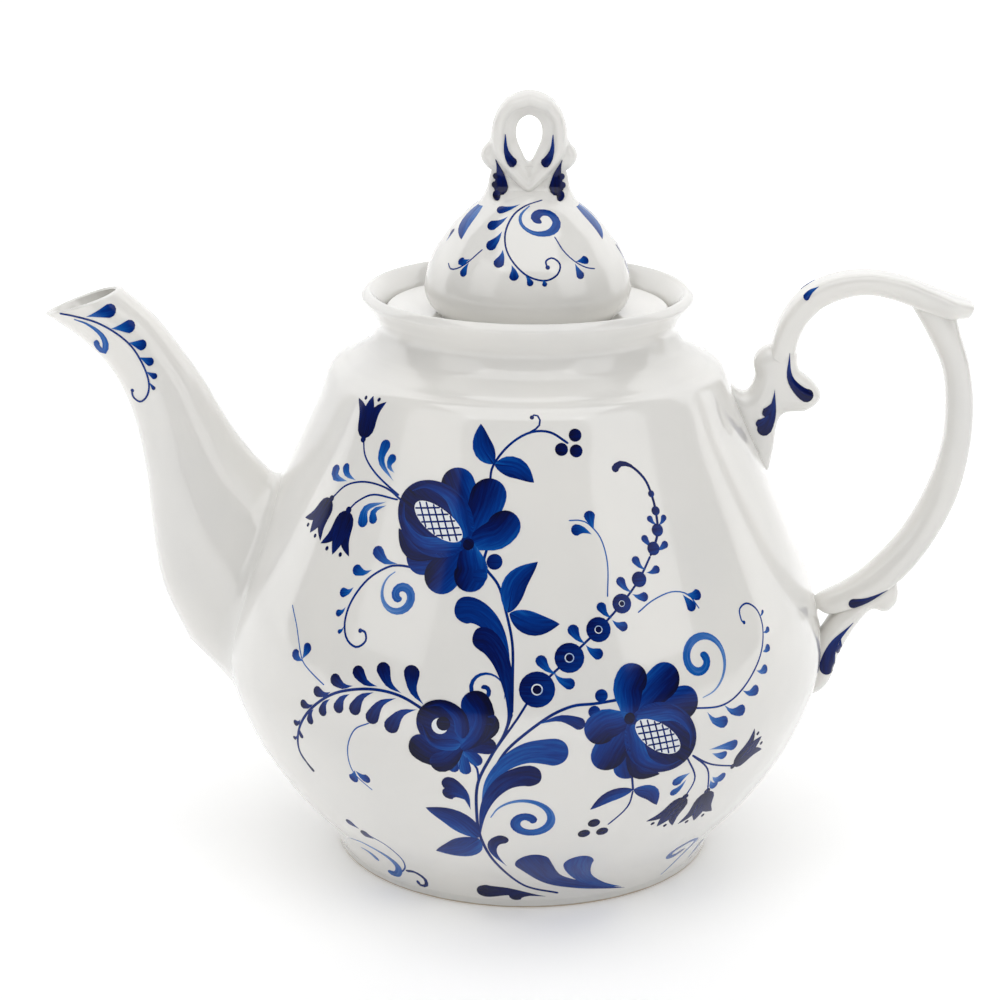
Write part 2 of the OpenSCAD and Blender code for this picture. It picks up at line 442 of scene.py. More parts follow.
def make_collar():
    inside = [(SEAT_R + 0.4, SEAT_Z + 3.2), (SEAT_R, SEAT_Z + 2), (SEAT_R, SEAT_Z + 0.6),
              (SEAT_R - 0.6, SEAT_Z), (MOUTH_R + 0.8, SEAT_Z), (MOUTH_R, SEAT_Z - 0.8),
              (MOUTH_R, JOINT_Z - WALL + 1), (MOUTH_R + 1, JOINT_Z - WALL), (JOINT_R, JOINT_Z - WALL)]
    collar = revolved("neck_collar_glazed", collar_line + inside, loop=True)
    return finish_piece(collar, "pot", PORCELAIN, "porcelain", "neck_collar")


def make_foot():
    half_round = [(FOOT_R - 5.6, 0.8), (FOOT_R - 5.3, 0.25), (FOOT_R - 4.6, 0), (FOOT_R - 0.9, 0),
                  (FOOT_R - 0.25, 0.25), (FOOT_R, 0.9), (FOOT_R + 0.2, FOOT_H), (FOOT_R - 6, FOOT_H)]
    foot = revolved("foot_ring_glazed", half_round, loop=True)
    return finish_piece(foot, "pot", FOOT_GLAZE, "bare_porcelain", "foot_ring")


# ---- spout
AROUND = 72
SPOUT_ROOT = (-79, 43.5, -66, 102.6, 21)
SPOUT_SECTIONS = [
    (-92, 57, -69.6, 104.6, 19.2),
    (-99, 73, -73.4, 108.8, 17),
    (-101.5, 90, -78.4, 115.4, 14.8),
    (-103, 106.5, -82.4, 122, 12.6),
    (-106.2, 122, -86.7, 129.8, 10.8),
    (-111.4, 133, -92.6, 138.4, 9.8),
    (-119, 141, -99.5, 147.3, 9.6),
    (-128.3, 147.6, -107.8, 154.6, 9.8)]


def oval_ring(section, inset=0.0, taper=0.0, grow=0.0):
    """A ring round a section (x, z of one edge, x, z of the other edge, half width in Y)."""
    xa, za, xb, zb, half_y = section
    a = np.array([xa, 0, za])
    b = np.array([xb, 0, zb])
    middle = (a + b) / 2
    reach = np.linalg.norm(a - b) / 2 - inset + grow
    ring = []
    for k in range(AROUND):
        turn = 2 * math.pi * k / AROUND
        narrow = 1 - taper * ((1 + math.cos(turn)) / 2) ** 2
        across = (half_y - inset + grow) * narrow * math.sin(turn)
        ring.append(middle + unit(a - b) * reach * math.cos(turn) + np.array([0, across, 0]))
    return ring


def on_body(p, side, sink):
    """A point moved along X onto the body's outside, or under it."""
    r = body_r(p[2]) - sink
    return np.array([side * math.sqrt(max(r * r - p[1] * p[1], 0)), p[1], p[2]])


def bezier(a, b, c, t):
    return a * (1 - t) ** 2 + 2 * b * t * (1 - t) + c * t * t


FILLET = 5.5
FILLET_STEPS = 9
BLEND_REACH = 0.55  # how far up the spout its flare reaches, as a share


def make_spout():
    sections = curve(SPOUT_SECTIONS, 8)
    last = len(sections) - 1
    outer = []
    inner = []
    for i, section in enumerate(sections):
        taper = LIP_TAPER * (i / last) ** 3
        outer.append(oval_ring(section, 0, taper))
        inner.append(oval_ring(section, SPOUT_WALL - i / last, taper))
    outward = unit(outer[-1][AROUND // 2] + outer[-1][0] - outer[-4][AROUND // 2] - outer[-4][0])
    lip = [[(2 * a + b) / 3 + outward * 0.5 for a, b in zip(outer[-1], inner[-1])],
           [(a + 2 * b) / 3 + outward * 0.5 for a, b in zip(outer[-1], inner[-1])]]
    landing = [on_body(p, -1, 0.25) for p in oval_ring(SPOUT_ROOT, grow=FILLET)]
    corner = [on_body(p, -1, 0) for p in oval_ring(SPOUT_ROOT)]
    base = []
    for step in range(FILLET_STEPS):
        t = step / FILLET_STEPS
        base.append([bezier(out, c, c + (free - c) * BLEND_REACH, t)
                     for out, c, free in zip(landing, corner, outer[0])])
    root_inside = [on_body(p, -1, 1.5) for p in oval_ring(SPOUT_ROOT, SPOUT_WALL)]
    rings = base + outer + lip + inner[::-1] + [root_inside]
    spout = lofted("spout_glazed", rings, loop=True)
    return finish_piece(spout, "pot", PORCELAIN, "porcelain_painted", "spout")


# ---- handle
ARCH_SECTIONS = [
    (64.5, 139, 71, 134.5, 4.6),
    (66.9, 147.4, 72.7, 144, 4.8),
    (72, 155, 77, 150.3, 5.2),
    (80, 159.7, 82.7, 153.6, 5.5),
    (90, 161.2, 90, 155, 5.8),
    (99.8, 159.6, 98, 153.4, 6),
    (107.4, 156.8, 105, 150.6, 6.6),
    (113, 154.6, 111.2, 148.8, 7.6),
    (117.7, 153.2, 116.2, 149, 6)]
DROP_SECTIONS = [
    (113, 151.4, 102, 152, 4.4),
    (115, 145, 106.4, 144.6, 5.2),
    (118, 135.5, 111, 134.8, 5.4),
    (119.5, 124, 112.4, 124, 5.4),
    (118.9, 112, 111.7, 113, 5.4),
    (116.2, 99.5, 108.4, 101.5, 5.4),
    (110.8, 87.6, 102.4, 89.8, 5.3),
    (104.2, 78, 94.4, 80.2, 5.2),
    (95.8, 70.6, 87.8, 74.8, 5),
    (84.6, 66, 81, 71.2, 4),
    (79.6, 67.6, 79, 69.6, 2.6)]
# One half of the strip's cross-section: 1 is the outer face, -1 the narrower inner edge.
HALF_SECTION = [(1, 0), (0.98, 0.55), (0.8, 0.9), (0.35, 1), (-0.25, 0.9), (-0.8, 0.62), (-1, 0.25)]


def strip_template():
    half = HALF_SECTION
    other = [(s, -w) for s, w in half[:0:-1]]
    return closed_curve(half + [(-1.02, 0)] + other, 5)


def make_strip(name, sections, node):
    template = strip_template()
    rings = []
    for xa, za, xb, zb, half_y in curve(sections, 8):
        middle = np.array([(xa + xb) / 2, 0, (za + zb) / 2])
        reach = np.array([(xa - xb) / 2, 0, (za - zb) / 2])
        rings.append([middle + reach * s + np.array([0, half_y * w, 0]) for s, w in template])
    rings = rounded_end(rings[::-1])[::-1]
    strip = lofted(name, rounded_end(rings))
    return finish_piece(strip, "pot", PORCELAIN, "porcelain", node)


def rounded_end(rings, bulge=0.8):
    """Adds rings that close the last end with a small dome."""
    last = rings[-1]
    middle = sum(last) / len(last)
    forward = unit(middle - sum(rings[-3]) / len(last))
    closed = []
    for turn in (30, 55, 75):
        shrink = math.cos(math.radians(turn))
        rise = bulge * math.sin(math.radians(turn))
        closed.append([middle + (p - middle) * shrink + forward * rise for p in last])
    return rings + closed


UPPER_ROOT = [
    (65.2, 141), (62, 139.6), (60.4, 136.4), (61, 132.4), (58.5, 128), (53, 130.5),
    (56, 119), (62.5, 106.6), (65.2, 106.2), (66.5, 112), (68.2, 121.8), (75, 123.2),
    (78.8, 127), (76.6, 131.2), (72.6, 134.6), (71.4, 140)]
LOWER_ROOT = [
    (98.8, 77), (101.6, 74.8), (102, 69.8), (99, 66.4), (95.2, 67.2), (91.8, 63.6), (88.8, 58.6),
    (86.4, 53.6), (84.6, 47), (82, 43.4), (78.6, 42.2), (77.2, 44.4), (79.4, 51), (79.8, 57.5),
    (82.4, 62.4), (85.6, 67), (92, 71.4)]


def distance_to(outline, points):
    """Distance of plane points to a closed outline, all of them at once."""
    a = np.array(outline)
    b = np.roll(a, -1, axis=0)
    best = np.full(len(points), 1e9)
    for start, end in zip(a, b):
        d = end - start
        t = np.clip(((points - start) @ d) / max(d @ d, 1e-9), 0, 1)
        best = np.minimum(best, np.linalg.norm(points - start - t[:, None] * d, axis=1))
    return best


def reshaped(obj, change):
    """Runs a function over all the object's points, in millimetres."""
    flat = np.zeros(len(obj.data.vertices) * 3, np.float32)
    obj.data.vertices.foreach_get("co", flat)
    moved = change(flat.reshape(-1, 3).astype(float) / MM)
    obj.data.vertices.foreach_set("co", (moved * MM).astype(np.float32).ravel())
    obj.data.update()


def puffed(name, outline, thickness, soft, voxel=0.55):
    """A flat outline in the XZ plane with softly rounded edges."""
    front = [np.array([x, -thickness / 2, z]) for x, z in outline]
    back = [np.array([x, thickness / 2, z]) for x, z in outline]
    count = len(outline)
    sides = joined([list(range(count)), list(range(count, 2 * count))])
    ends = [list(range(count)), list(range(2 * count - 1, count - 1, -1))]
    obj = new_object(name, front + back, sides + ends)
    with_modifier(obj, "REMESH", mode="VOXEL", voxel_size=voxel * MM)

    def swell(p):
        d = np.clip(distance_to(outline, p[:, [0, 2]]) / soft, 0, 1)
        full = np.sqrt(1 - (1 - d) ** 2)
        p[:, 1] *= 0.25 + 0.75 * full
        return p

    reshaped(obj, swell)
    with_modifier(obj, "REMESH", mode="VOXEL", voxel_size=voxel * MM)
    with_modifier(obj, "SMOOTH", factor=0.5, iterations=8)
    return obj


def make_roots():
    upper = puffed("handle_upper_root_glazed", closed_curve(UPPER_ROOT, 6), ROOT_T, 4)
    finish_piece(upper, "pot", PORCELAIN, "porcelain_painted", "handle_upper_root")
    lower = puffed("handle_lower_root_glazed", closed_curve(LOWER_ROOT, 6), ROOT_T, 4)
    finish_piece(lower, "pot", PORCELAIN, "porcelain_painted", "handle_lower_root")
    return upper, lower


# ---- lid and knob
DOME_KEYS = [(23.6, DOME_Z), (26.4, 152.6), (27.4, 157), (25.4, 164.6), (21.6, 170.6),
             (18.4, 174.4), (12.4, 179.3), (6, 181.9), (0, DOME_TOP)]
dome_line = curve(DOME_KEYS, 10)
VENT_R = 1.5


def make_dome():
    inside = [p for p in moved_left(dome_line, LID_WALL) if p[0] > 0.5 and p[1] > DOME_Z + 1]
    foot = (DOME_KEYS[0][0] - LID_WALL, DOME_Z)
    shell = dome_line + [(0, DOME_TOP - LID_WALL)] + inside[::-1] + [foot]
    dome = revolved("lid_dome_glazed", shell, loop=True)
    cut(dome, drill("vent_drill", (0, 15, 168), (0, 1, 1), 16, VENT_R, 24))
    return finish_piece(dome, "lid", PORCELAIN, "porcelain_painted", "lid_dome")


def make_brim():
    dish = curve([(BRIM_R - 0.6, SEAT_Z + 2.2), (32, 150), (27, 149.4), (23.6, DOME_Z)], 6)
    bore = DOME_KEYS[0][0] - LID_WALL
    brim = revolved("lid_brim_glazed", [
        (bore, PLUG_Z), (SKIRT_R - 0.4, PLUG_Z), (SKIRT_R, PLUG_Z + 0.4), (SKIRT_R, SEAT_Z - 0.4),
        (SKIRT_R + 0.4, SEAT_Z), (BRIM_R - 0.4, SEAT_Z), (BRIM_R, SEAT_Z + 0.4), (BRIM_R, SEAT_Z + 1.6),
        (BRIM_R - 0.2, SEAT_Z + 2)] + dish + [(bore, DOME_Z)], loop=True)
    return finish_piece(brim, "lid", PORCELAIN, "porcelain", "lid_brim")


def make_skirt():
    inner_r = SKIRT_R - 3.2
    skirt = revolved("lid_skirt_bare", [
        (inner_r, SKIRT_Z + 0.6), (inner_r + 0.6, SKIRT_Z), (SKIRT_R - 1, SKIRT_Z), (SKIRT_R, SKIRT_Z + 1),
        (SKIRT_R, PLUG_Z), (inner_r, PLUG_Z)], loop=True)
    return finish_piece(skirt, "lid", BARE, "bare_porcelain", "lid_skirt")


STEM_SECTIONS = [
    (-12.8, 178.7, 12.8, 178.7, 9.2),
    (-11.6, 180.6, 11.6, 180.6, 5.6),
    (-10.7, 183.5, 10.7, 183.5, 3.6),
    (-10.2, 186, 10.2, 186, 3),
    (-9.4, 188.6, 9.4, 188.6, 2.2)]
STEM_FILLET = 1.4
STEM_FILLET_STEPS = 7
DOME_UP_Z = np.array([p[1] for p in dome_line])
DOME_UP_R = np.array([p[0] for p in dome_line])


def on_dome(p, sink):
    """A point dropped along Z onto the lid's dome."""
    r = math.hypot(p[0], p[1])
    z = float(np.interp(-r, -DOME_UP_R[30:], DOME_UP_Z[30:]))
    return np.array([p[0], p[1], z - sink])


def flattened(ring, flat=2.8):
    """The ring with its round section changed to a flatter, squarer one."""
    reach = max(abs(p[0]) for p in ring)
    half = max(abs(p[1]) for p in ring)
    fuller = []
    for p in ring:
        along = min(abs(p[0]) / reach, 1)
        fuller.append(np.array([p[0], math.copysign(half * (1 - along ** flat) ** (1 / flat), p[1]), p[2]]))
    return fuller


def make_stem():
    rings = [flattened(oval_ring(s)) for s in curve(STEM_SECTIONS, 6)]
    landing = [on_dome(p, 0.15) for p in flattened(oval_ring(STEM_SECTIONS[0], grow=STEM_FILLET))]
    corner = [on_dome(p, 0) for p in flattened(oval_ring(STEM_SECTIONS[0], inset=0.4))]
    free_rings = rings[10:]
    base = []
    for step in range(STEM_FILLET_STEPS):
        t = step / STEM_FILLET_STEPS
        base.append([bezier(out, c, free, t) for out, c, free in zip(landing, corner, free_rings[0])])
    stem = lofted("knob_stem_glazed", base + free_rings)
    return finish_piece(stem, "lid", PORCELAIN, "porcelain_painted", "knob_stem")


KNOB_SIDE = [(8.6, 186.6), (11, 188.2), (12.6, 190.8), (12, 193.2), (10.3, 195.2),
             (9.8, 198.6), (9, 201.6), (7.4, 204.6), (4.4, 207.2)]
EYE_SIDE = [(2.2, 193), (3.4, 196.6), (2.8, 200.2)]


def both_sides(bottom, right, top):
    return [bottom] + right + [top] + [(-x, z) for x, z in right[::-1]]


def resampled(outline, count):
    """A closed outline again, with evenly spaced points from its first one."""
    p = np.array(list(outline) + [outline[0]])
    run = np.concatenate([[0], np.cumsum(np.linalg.norm(np.diff(p, axis=0), axis=1))])
    at = np.linspace(0, run[-1], count, endpoint=False)
    return np.stack([np.interp(at, run, p[:, 0]), np.interp(at, run, p[:, 1])], axis=1)


KNOB_CREST = [(7.6, 192.6), (8, 197), (7.4, 201.2), (4.9, 204.6)]
CREST_HALF = 2.1
PLATE_SHARE = 0.58  # thickness of the plate, of the crest's, and of the edge of the eye
EYE_SHARE = 0.34
EDGE_SOFT = 2.6
EYE_SOFT = 2.2


def make_knob():
    """A pierced plate with a thick rim round its eye. The rim runs down to a point under the eye."""
    outside = resampled(closed_curve(both_sides((0, 180.6), [(4.6, 183.4)] + KNOB_SIDE, (0, 208.4)), 6), 140)
    eye = resampled(closed_curve(both_sides((0, 189.4), EYE_SIDE, (0, 202)), 6), 120)
    leg = [(2.3, 185.6), (5, 188.8)]
    crest = curve([(0, 183.2)] + leg + KNOB_CREST, 6) + curve(KNOB_CREST[-1:] + [(0, 206.2)], 6)
    crest = crest + [np.array([-x, z]) for x, z in crest[::-1]]
    half = KNOB_T / 2
    rings = []
    for (x, z), (eye_x, eye_z) in zip(outside, resampled(eye, 140)):
        rings.append([np.array([x, -half, z]), np.array([x, half, z]),
                      np.array([eye_x, half, eye_z]), np.array([eye_x, -half, eye_z])])
    knob = lofted("knob_ring_glazed", rings, loop=True)
    with_modifier(knob, "REMESH", mode="VOXEL", voxel_size=0.4 * MM)

    def shaped(p):
        plane = p[:, [0, 2]]
        from_edge = np.clip(distance_to(outside, plane) / EDGE_SOFT, 0, 1)
        from_eye = np.clip(distance_to(eye, plane) / EYE_SOFT, 0, 1)
        from_crest = np.clip(distance_to(crest, plane) / CREST_HALF, 0, 1)
        plate = PLATE_SHARE * np.sqrt(1 - (1 - from_edge) ** 2)
        dished = EYE_SHARE + (PLATE_SHARE - EYE_SHARE) * from_eye ** 1.5
        ridge = np.sqrt(1 - from_crest ** 2)
        p[:, 1] *= np.maximum(np.maximum(np.minimum(plate, dished), ridge), 0.16)
        return p

    reshaped(knob, shaped)
    with_modifier(knob, "REMESH", mode="VOXEL", voxel_size=0.35 * MM)
    with_modifier(knob, "SMOOTH", factor=0.5, iterations=6)
    return finish_piece(knob, "lid", PORCELAIN, "porcelain_painted", "knob_ring")


pot = make_pot()
collar = make_collar()
foot = make_foot()
spout = make_spout()
arch = make_strip("handle_arch_glazed", ARCH_SECTIONS, "handle_arch")
drop = make_strip("handle_drop_glazed", DROP_SECTIONS, "handle_drop")
upper_root, lower_root = make_roots()
dome = make_dome()
brim = make_brim()
skirt = make_skirt()
stem = make_stem()
knob = make_knob()


# ---- painting: where it goes
LIFT = 0.03  # a stroke's height over the glaze, with the step to the next layer
LAYER = 0.012
SINK = 0.05  # how deep a stroke's edges go into the glaze
SAMPLE_ALONG = 0.8  # size of a stroke's faces
SAMPLE_ACROSS = 0.9
BRUSH_ALONG = 0.12  # scale of the brush hairs in the paint's pattern
BRUSH_ACROSS = 1.6
BRUSH_SEED = 0.37


class RoundSheet:
    """The outside of a turned piece. A place on it is (degrees round from the front, height)."""

    def __init__(self, line):
        p = np.array(line)
        self.r, self.z = p[:, 0], p[:, 1]
        steps = np.linalg.norm(np.diff(p, axis=0), axis=1)
        self.v = np.concatenate([[0], np.cumsum(steps)])
        self.out_r = np.gradient(self.z, self.v)
        self.out_z = -np.gradient(self.r, self.v)

    def local(self, anchor, places):
        """Places as millimetres to the right of an anchor place and up from it, on the surface."""
        v0 = np.interp(anchor[1], self.z, self.v)
        return [(math.radians(turn - anchor[0]) * np.interp(z, self.z, self.r),
                 np.interp(z, self.z, self.v) - v0) for turn, z in places]

    def points(self, anchor, x, y, lift):
        v = np.interp(anchor[1], self.z, self.v) + y
        r = np.interp(v, self.v, self.r)
        turn = math.radians(anchor[0]) + x / np.maximum(r, 1)
        r = r + lift * np.interp(v, self.v, self.out_r)
        z = np.interp(v, self.v, self.z) + lift * np.interp(v, self.v, self.out_z)
        return np.stack([r * np.sin(turn), -r * np.cos(turn), z], axis=-1)


class FrontSheet:
    """The front of some pieces, seen level from the front. A place on it is (x, height)."""

    def __init__(self, clearance, *objects):
        self.clearance = clearance
        points = []
        faces = []
        for obj in objects:
            start = len(points)
            points += [v.co.copy() for v in obj.data.vertices]
            faces += [[start + i for i in f.vertices] for f in obj.data.polygons]
        self.tree = BVHTree.FromPolygons(points, faces)

    def local(self, anchor, places):
        return [(x - anchor[0], z - anchor[1]) for x, z in places]

    def points(self, anchor, x, y, lift):
        laid = np.zeros(x.shape + (3,))
        for at in np.ndindex(x.shape):
            start = Vector((anchor[0] + x[at], -BELLY_R * 2, anchor[1] + y[at])) * MM
            place, out, _, _ = self.tree.ray_cast(start, Vector((0, 1, 0)))
            if place is None:
                start.y = 0
                place, out, _, _ = self.tree.find_nearest(start)
            outward = np.array(out) if out.y < 0 else -np.array(out)
            laid[at] = np.array(place / MM) + outward * (lift[at] + (self.clearance if lift[at] > 0 else 0))
        return laid


class Spot:
    """Where a motif goes: a place on a sheet, a turn to the left in degrees, and a scale."""

    def __init__(self, sheet, place, turn=0, scale=1):
        self.sheet = sheet
        self.place = place
        self.turn = math.radians(turn)
        self.scale = scale

    def points(self, x, y, lift):
        right = (x * math.cos(self.turn) - y * math.sin(self.turn)) * self.scale
        up = (x * math.sin(self.turn) + y * math.cos(self.turn)) * self.scale
        return self.sheet.points(self.place, right, up, lift)


def through(sheet, places):
    """A spot at the middle of some places, and the places in its own millimetres."""
    anchor = places[len(places) // 2]
    return Spot(sheet, anchor), sheet.local(anchor, places)


# ---- painting: strokes
class Painting:
    """Strokes that end up as one piece on the front and its mirror image on the back."""

    def __init__(self, name, sheet, body="pot"):
        self.name = name
        self.sheet = sheet
        self.body = body
        self.points = []
        self.faces = []
        self.tones = []
        self.brush = []

    def stroke(self, spot, path, width, shape, tone, layer=0):
        """One stroke along the spot's own points. shape(t, head) is its share of the width and
        tone(t, s) its depth, from 0 for navy to 1 for white, at t along it and s across it."""
        line = np.array(curve(path, 10)) if len(path) > 1 else np.array(path)
        run = np.concatenate([[0], np.cumsum(np.linalg.norm(np.diff(line, axis=0), axis=1))])
        length = run[-1]
        along_count = int(np.clip(length * spot.scale / SAMPLE_ALONG, 10, 90))
        across_count = int(np.clip(width * spot.scale / SAMPLE_ACROSS, 2, 10)) + 1
        t = (1 - np.cos(np.pi * np.linspace(0, 1, along_count))) / 2
        middle = np.stack([np.interp(t * length, run, line[:, i]) for i in (0, 1)], axis=1)
        forward = np.gradient(middle, axis=0)
        forward /= np.maximum(np.linalg.norm(forward, axis=1), 1e-9)[:, None]
        left = np.stack([-forward[:, 1], forward[:, 0]], axis=1)
        head = min(0.5, width / 2 / max(length, 1e-6))
        half = np.maximum(shape(t, head), 0.01) * width / 2
        s = np.concatenate([[-1], np.linspace(-1, 1, across_count), [1]])
        x = middle[:, 0, None] + left[:, 0, None] * half[:, None] * s
        y = middle[:, 1, None] + left[:, 1, None] * half[:, None] * s
        lift = np.full(x.shape, LIFT + LAYER * layer)
        lift[:, [0, -1]] = -SINK
        self.add(spot.points(x, y, lift), tone(t[:, None], s[None, :]) + 0 * x, t * length, half, s)

    def add(self, laid, tones, along, half, s):
        rows, columns = tones.shape
        start = len(self.points)
        self.points += [tuple(p) for p in laid.reshape(-1, 3)]
        self.tones += list(tones.ravel())
        seed = start * BRUSH_SEED
        for i in range(rows):
            across = half[i] * s * BRUSH_ACROSS
            self.brush += [(along[i] * BRUSH_ALONG, across[k], seed) for k in range(columns)]
        for i in range(rows - 1):
            for k in range(columns - 1):
                corner = start + i * columns + k
                self.faces.append((corner, corner + columns, corner + columns + 1, corner + 1))

    def finish(self):
        for side, flip in (("front", 1), ("back", -1)):
            points = [(x, flip * y, z) for x, y, z in self.points]
            faces = [f[::-1] for f in self.faces] if flip == 1 else self.faces
            mesh = bpy.data.meshes.new(f"{self.name}_{side}")
            mesh.from_pydata([Vector(p) * MM for p in points], [], faces)
            tone = mesh.attributes.new("tone", "FLOAT", "POINT")
            tone.data.foreach_set("value", np.array(self.tones, np.float32))
            brush = mesh.attributes.new("brush", "FLOAT_VECTOR", "POINT")
            brush.data.foreach_set("vector", np.array(self.brush, np.float32).ravel())
            obj = bpy.data.objects.new(f"{self.name}_{side}", mesh)
            bpy.context.scene.collection.objects.link(obj)
            finish_piece(obj, self.body, COBALT, "cobalt")


def even(t, head):
    """A line of one width with rounded ends."""
    return np.sqrt(np.clip(np.minimum(t, 1 - t) / max(head, 0.004), 0, 1))


def drop_shape(t, head):
    """A round head and a tail that runs out."""
    rounded = np.sqrt(np.clip(1 - (1 - t / head) ** 2, 0, 1))
    tail = np.clip(1 - (t - head) / (1 - head), 0, 1) ** 1.15
    return np.where(t < head, rounded, tail)


def petal_shape(t, head):
    """A broad round head that narrows to a third."""
    rounded = np.sqrt(np.clip(1 - (1 - t / head) ** 2, 0, 1))
    tail = 1 - 0.66 * np.clip((t - head) / (1 - head), 0, 1) ** 1.8
    return np.where(t < head, rounded, tail)


def leaf_shape(t, head):
    """Pointed at both ends, widest near the stalk."""
    return np.sin(np.pi * t ** 0.8) ** 0.85


def oval(t, head):
    return np.sqrt(np.clip(1 - (2 * t - 1) ** 2, 0, 1))


def swelling(t, head):
    """Starts as a hair line, swells, and stops round."""
    grown = 0.12 + 0.88 * np.clip(t / 0.6, 0, 1) ** 1.3
    return grown * np.sqrt(np.clip((1 - t) / max(head, 0.01), 0, 1))


def shade(first, last, side=0.0):
    """Tone from the start of a stroke to its end, lighter towards its left side by the last number."""
    return lambda t, s: first + (last - first) * t + side * s


def line(art, places, width=0.55, tone=0.3, layer=0):
    spot, path = through(art.sheet, places)
    art.stroke(spot, path, width, even, shade(tone, tone + 0.04), layer)


def comma(art, places, width, first=0.25, last=0.72, layer=1):
    spot, path = through(art.sheet, places)
    art.stroke(spot, path, width, drop_shape, shade(first, last), layer)


def dot(art, place, size, tone=0.2, layer=1):
    spot = Spot(art.sheet, place)
    art.stroke(spot, [(-size / 2, 0), (size / 2, 0)], size, oval, shade(tone - 0.06, tone + 0.1), layer)


def leaf(art, stalk, tip, width, bend=0.1, first=0.42, last=0.3, layer=1):
    """A leaf in two halves that meet at its midrib."""
    spot, (a, b) = through(art.sheet, [stalk, tip])
    a, b = np.array(a), np.array(b)
    side = np.array([-(b - a)[1], (b - a)[0]]) * bend
    art.stroke(spot, [a, (a + b) / 2 + side, b], width, leaf_shape, shade(first, last, 0.12), layer)
    art.stroke(spot, [a, (a + b) / 2 + side * 1.1, a + (b - a) * 0.8], 0.25, drop_shape,
               shade(0.2, 0.35), layer + 1)


def fern(art, drops, first, last, bend=0.0):
    """Drops whose tails run to a stem, bent by a share of their length. Each is head, tail and width."""
    for head_x, head_z, tail_x, tail_z, width in drops:
        spot, (a, b) = through(art.sheet, [(head_x, head_z), (tail_x, tail_z)])
        a, b = np.array(a), np.array(b)
        start = a - unit(b - a) * width / 2
        side = np.array([-(b - a)[1], (b - a)[0]]) * bend
        path = [start, a + side * 0.5, (a + b) / 2 + side, b]
        art.stroke(spot, path, width, drop_shape, shade(first, last), 1)


# ---- painting: flowers
def bell(art, base, tip, dark=0.03):
    """A hanging bell flower: a calyx, three flared petals and two loose dots."""
    spot, (a, b) = through(art.sheet, [base, tip])
    a, b = np.array(a), np.array(b)
    size = np.linalg.norm(b - a) / 12
    turn = math.degrees(math.atan2(b[1] - a[1], b[0] - a[0]))
    bell_spot = Spot(art.sheet, base, turn, size)
    for s in (-1, 1):
        art.stroke(bell_spot, [(0.4, 0), (2.4, 1.5 * s), (5.6, 1.8 * s), (8.2, 2.9 * s), (10.8, 5.6 * s)],
                3.6, leaf_shape, shade(dark, dark + 0.16, 0.05 * s), 2)
        art.stroke(bell_spot, [(10.6, 2.5 * s), (11.8, 2.8 * s)], 1.1, oval, shade(0.1, 0.1), 2)
    art.stroke(bell_spot, [(0.3, 0), (4, 0), (8, 0), (12, 0)], 5.2, leaf_shape, shade(dark, dark + 0.2), 3)
    art.stroke(bell_spot, [(-0.9, 0), (0.9, 0)], 1.9, oval, shade(0.12, 0.12), 4)


def bead(art, place, size):
    """A berry with a pale ring round its dark middle."""
    spot = Spot(art.sheet, place)
    art.stroke(spot, [(-size / 2, 0), (size / 2, 0)], size, oval, lambda t, s: 0.17 + 0.16 * t - 0.05 * s, 2)
    if size > 4:
        pale = size * 0.16
        art.stroke(spot, [(-pale, 0), (pale, 0)], 2 * pale, oval, shade(1, 0.94), 3)
        art.stroke(spot, [(-pale * 0.78, 0), (pale * 0.78, 0)], 1.56 * pale, oval, shade(0.02, 0.08), 4)


def lattice(art, spot, centre, long_half, short_half, layer):
    """A pale oval crossed by two sets of thin lines."""
    start = (centre - long_half, 0)
    end = (centre + long_half, 0)
    art.stroke(spot, [start, (centre, 0), end], 2 * short_half, oval, shade(1.3, 1.3), layer)
    pitch = 1.75
    for slant in (38, -38):
        across = np.array([-math.sin(math.radians(slant)), math.cos(math.radians(slant))])
        forward = np.array([math.cos(math.radians(slant)), math.sin(math.radians(slant))])
        for k in range(-5, 6):
            p = across * k * pitch / np.array([long_half, short_half])
            d = forward / np.array([long_half, short_half])
            reach = (p @ d) ** 2 - (d @ d) * (p @ p - 0.97)
            if reach <= 0.02:
                continue
            ends = [(-(p @ d) + sign * math.sqrt(reach)) / (d @ d) for sign in (-1, 1)]
            a, b = [across * k * pitch + forward * e + np.array([centre, 0]) for e in ends]
            art.stroke(spot, [a, b], 0.45, even, shade(0.24, 0.28), layer + 1)


def rose(art, spot, cup_side):
    """A gzhel rose: side petals that meet in its heart, and a full bud with a lattice window."""
    def place(radius, degrees, side):
        angle = math.radians(degrees * side)
        return (radius * math.cos(angle), radius * math.sin(angle))

    petals = ((41, 19.6, 8.8, 5, 2), (75, 17.4, 9.2, 3, 4), (111, 13.4, 8.4, 14, 6))
    for s in (1, -1):
        for degrees, reach, width, bow, layer in petals:
            tucked = s == cup_side
            start = reach * (0.86 if tucked else 1)
            angle = degrees + (7 if tucked else 0)
            path = [place(start, angle, s), place(start * 0.6, angle + bow, s),
                    place(start * 0.3, angle + bow, s), (0, 0)]
            art.stroke(spot, path, width, petal_shape, shade(0.17, 0.42, -0.22 * s), layer)
    art.stroke(spot, [(17.4, 8 * cup_side), (10.5, 10.2 * cup_side), (1, 1.8 * cup_side)], 3.8, leaf_shape,
            shade(0.04, 0.3, 0.14 * cup_side), 7)
    art.stroke(spot, [(21.8, 0), (11, 0), (0.2, 0)], 18.2, oval,
            lambda t, s: 0.05 + 0.26 * t + 0.1 * s * s, 8)
    for s in (1, -1):
        art.stroke(spot, [(20.2, 2 * s), (17, 5.8 * s), (9.6, 6.8 * s), (1.5, 1 * s)], 4, swelling,
                shade(0.22, 0.5, 0.14 * s), 9)
    lattice(art, spot, 9.8, 7.6, 3.3, 10)
    art.stroke(spot, [(-1.4, 0), (1.4, 0)], 3, oval, shade(0.02, 0.06), 12)


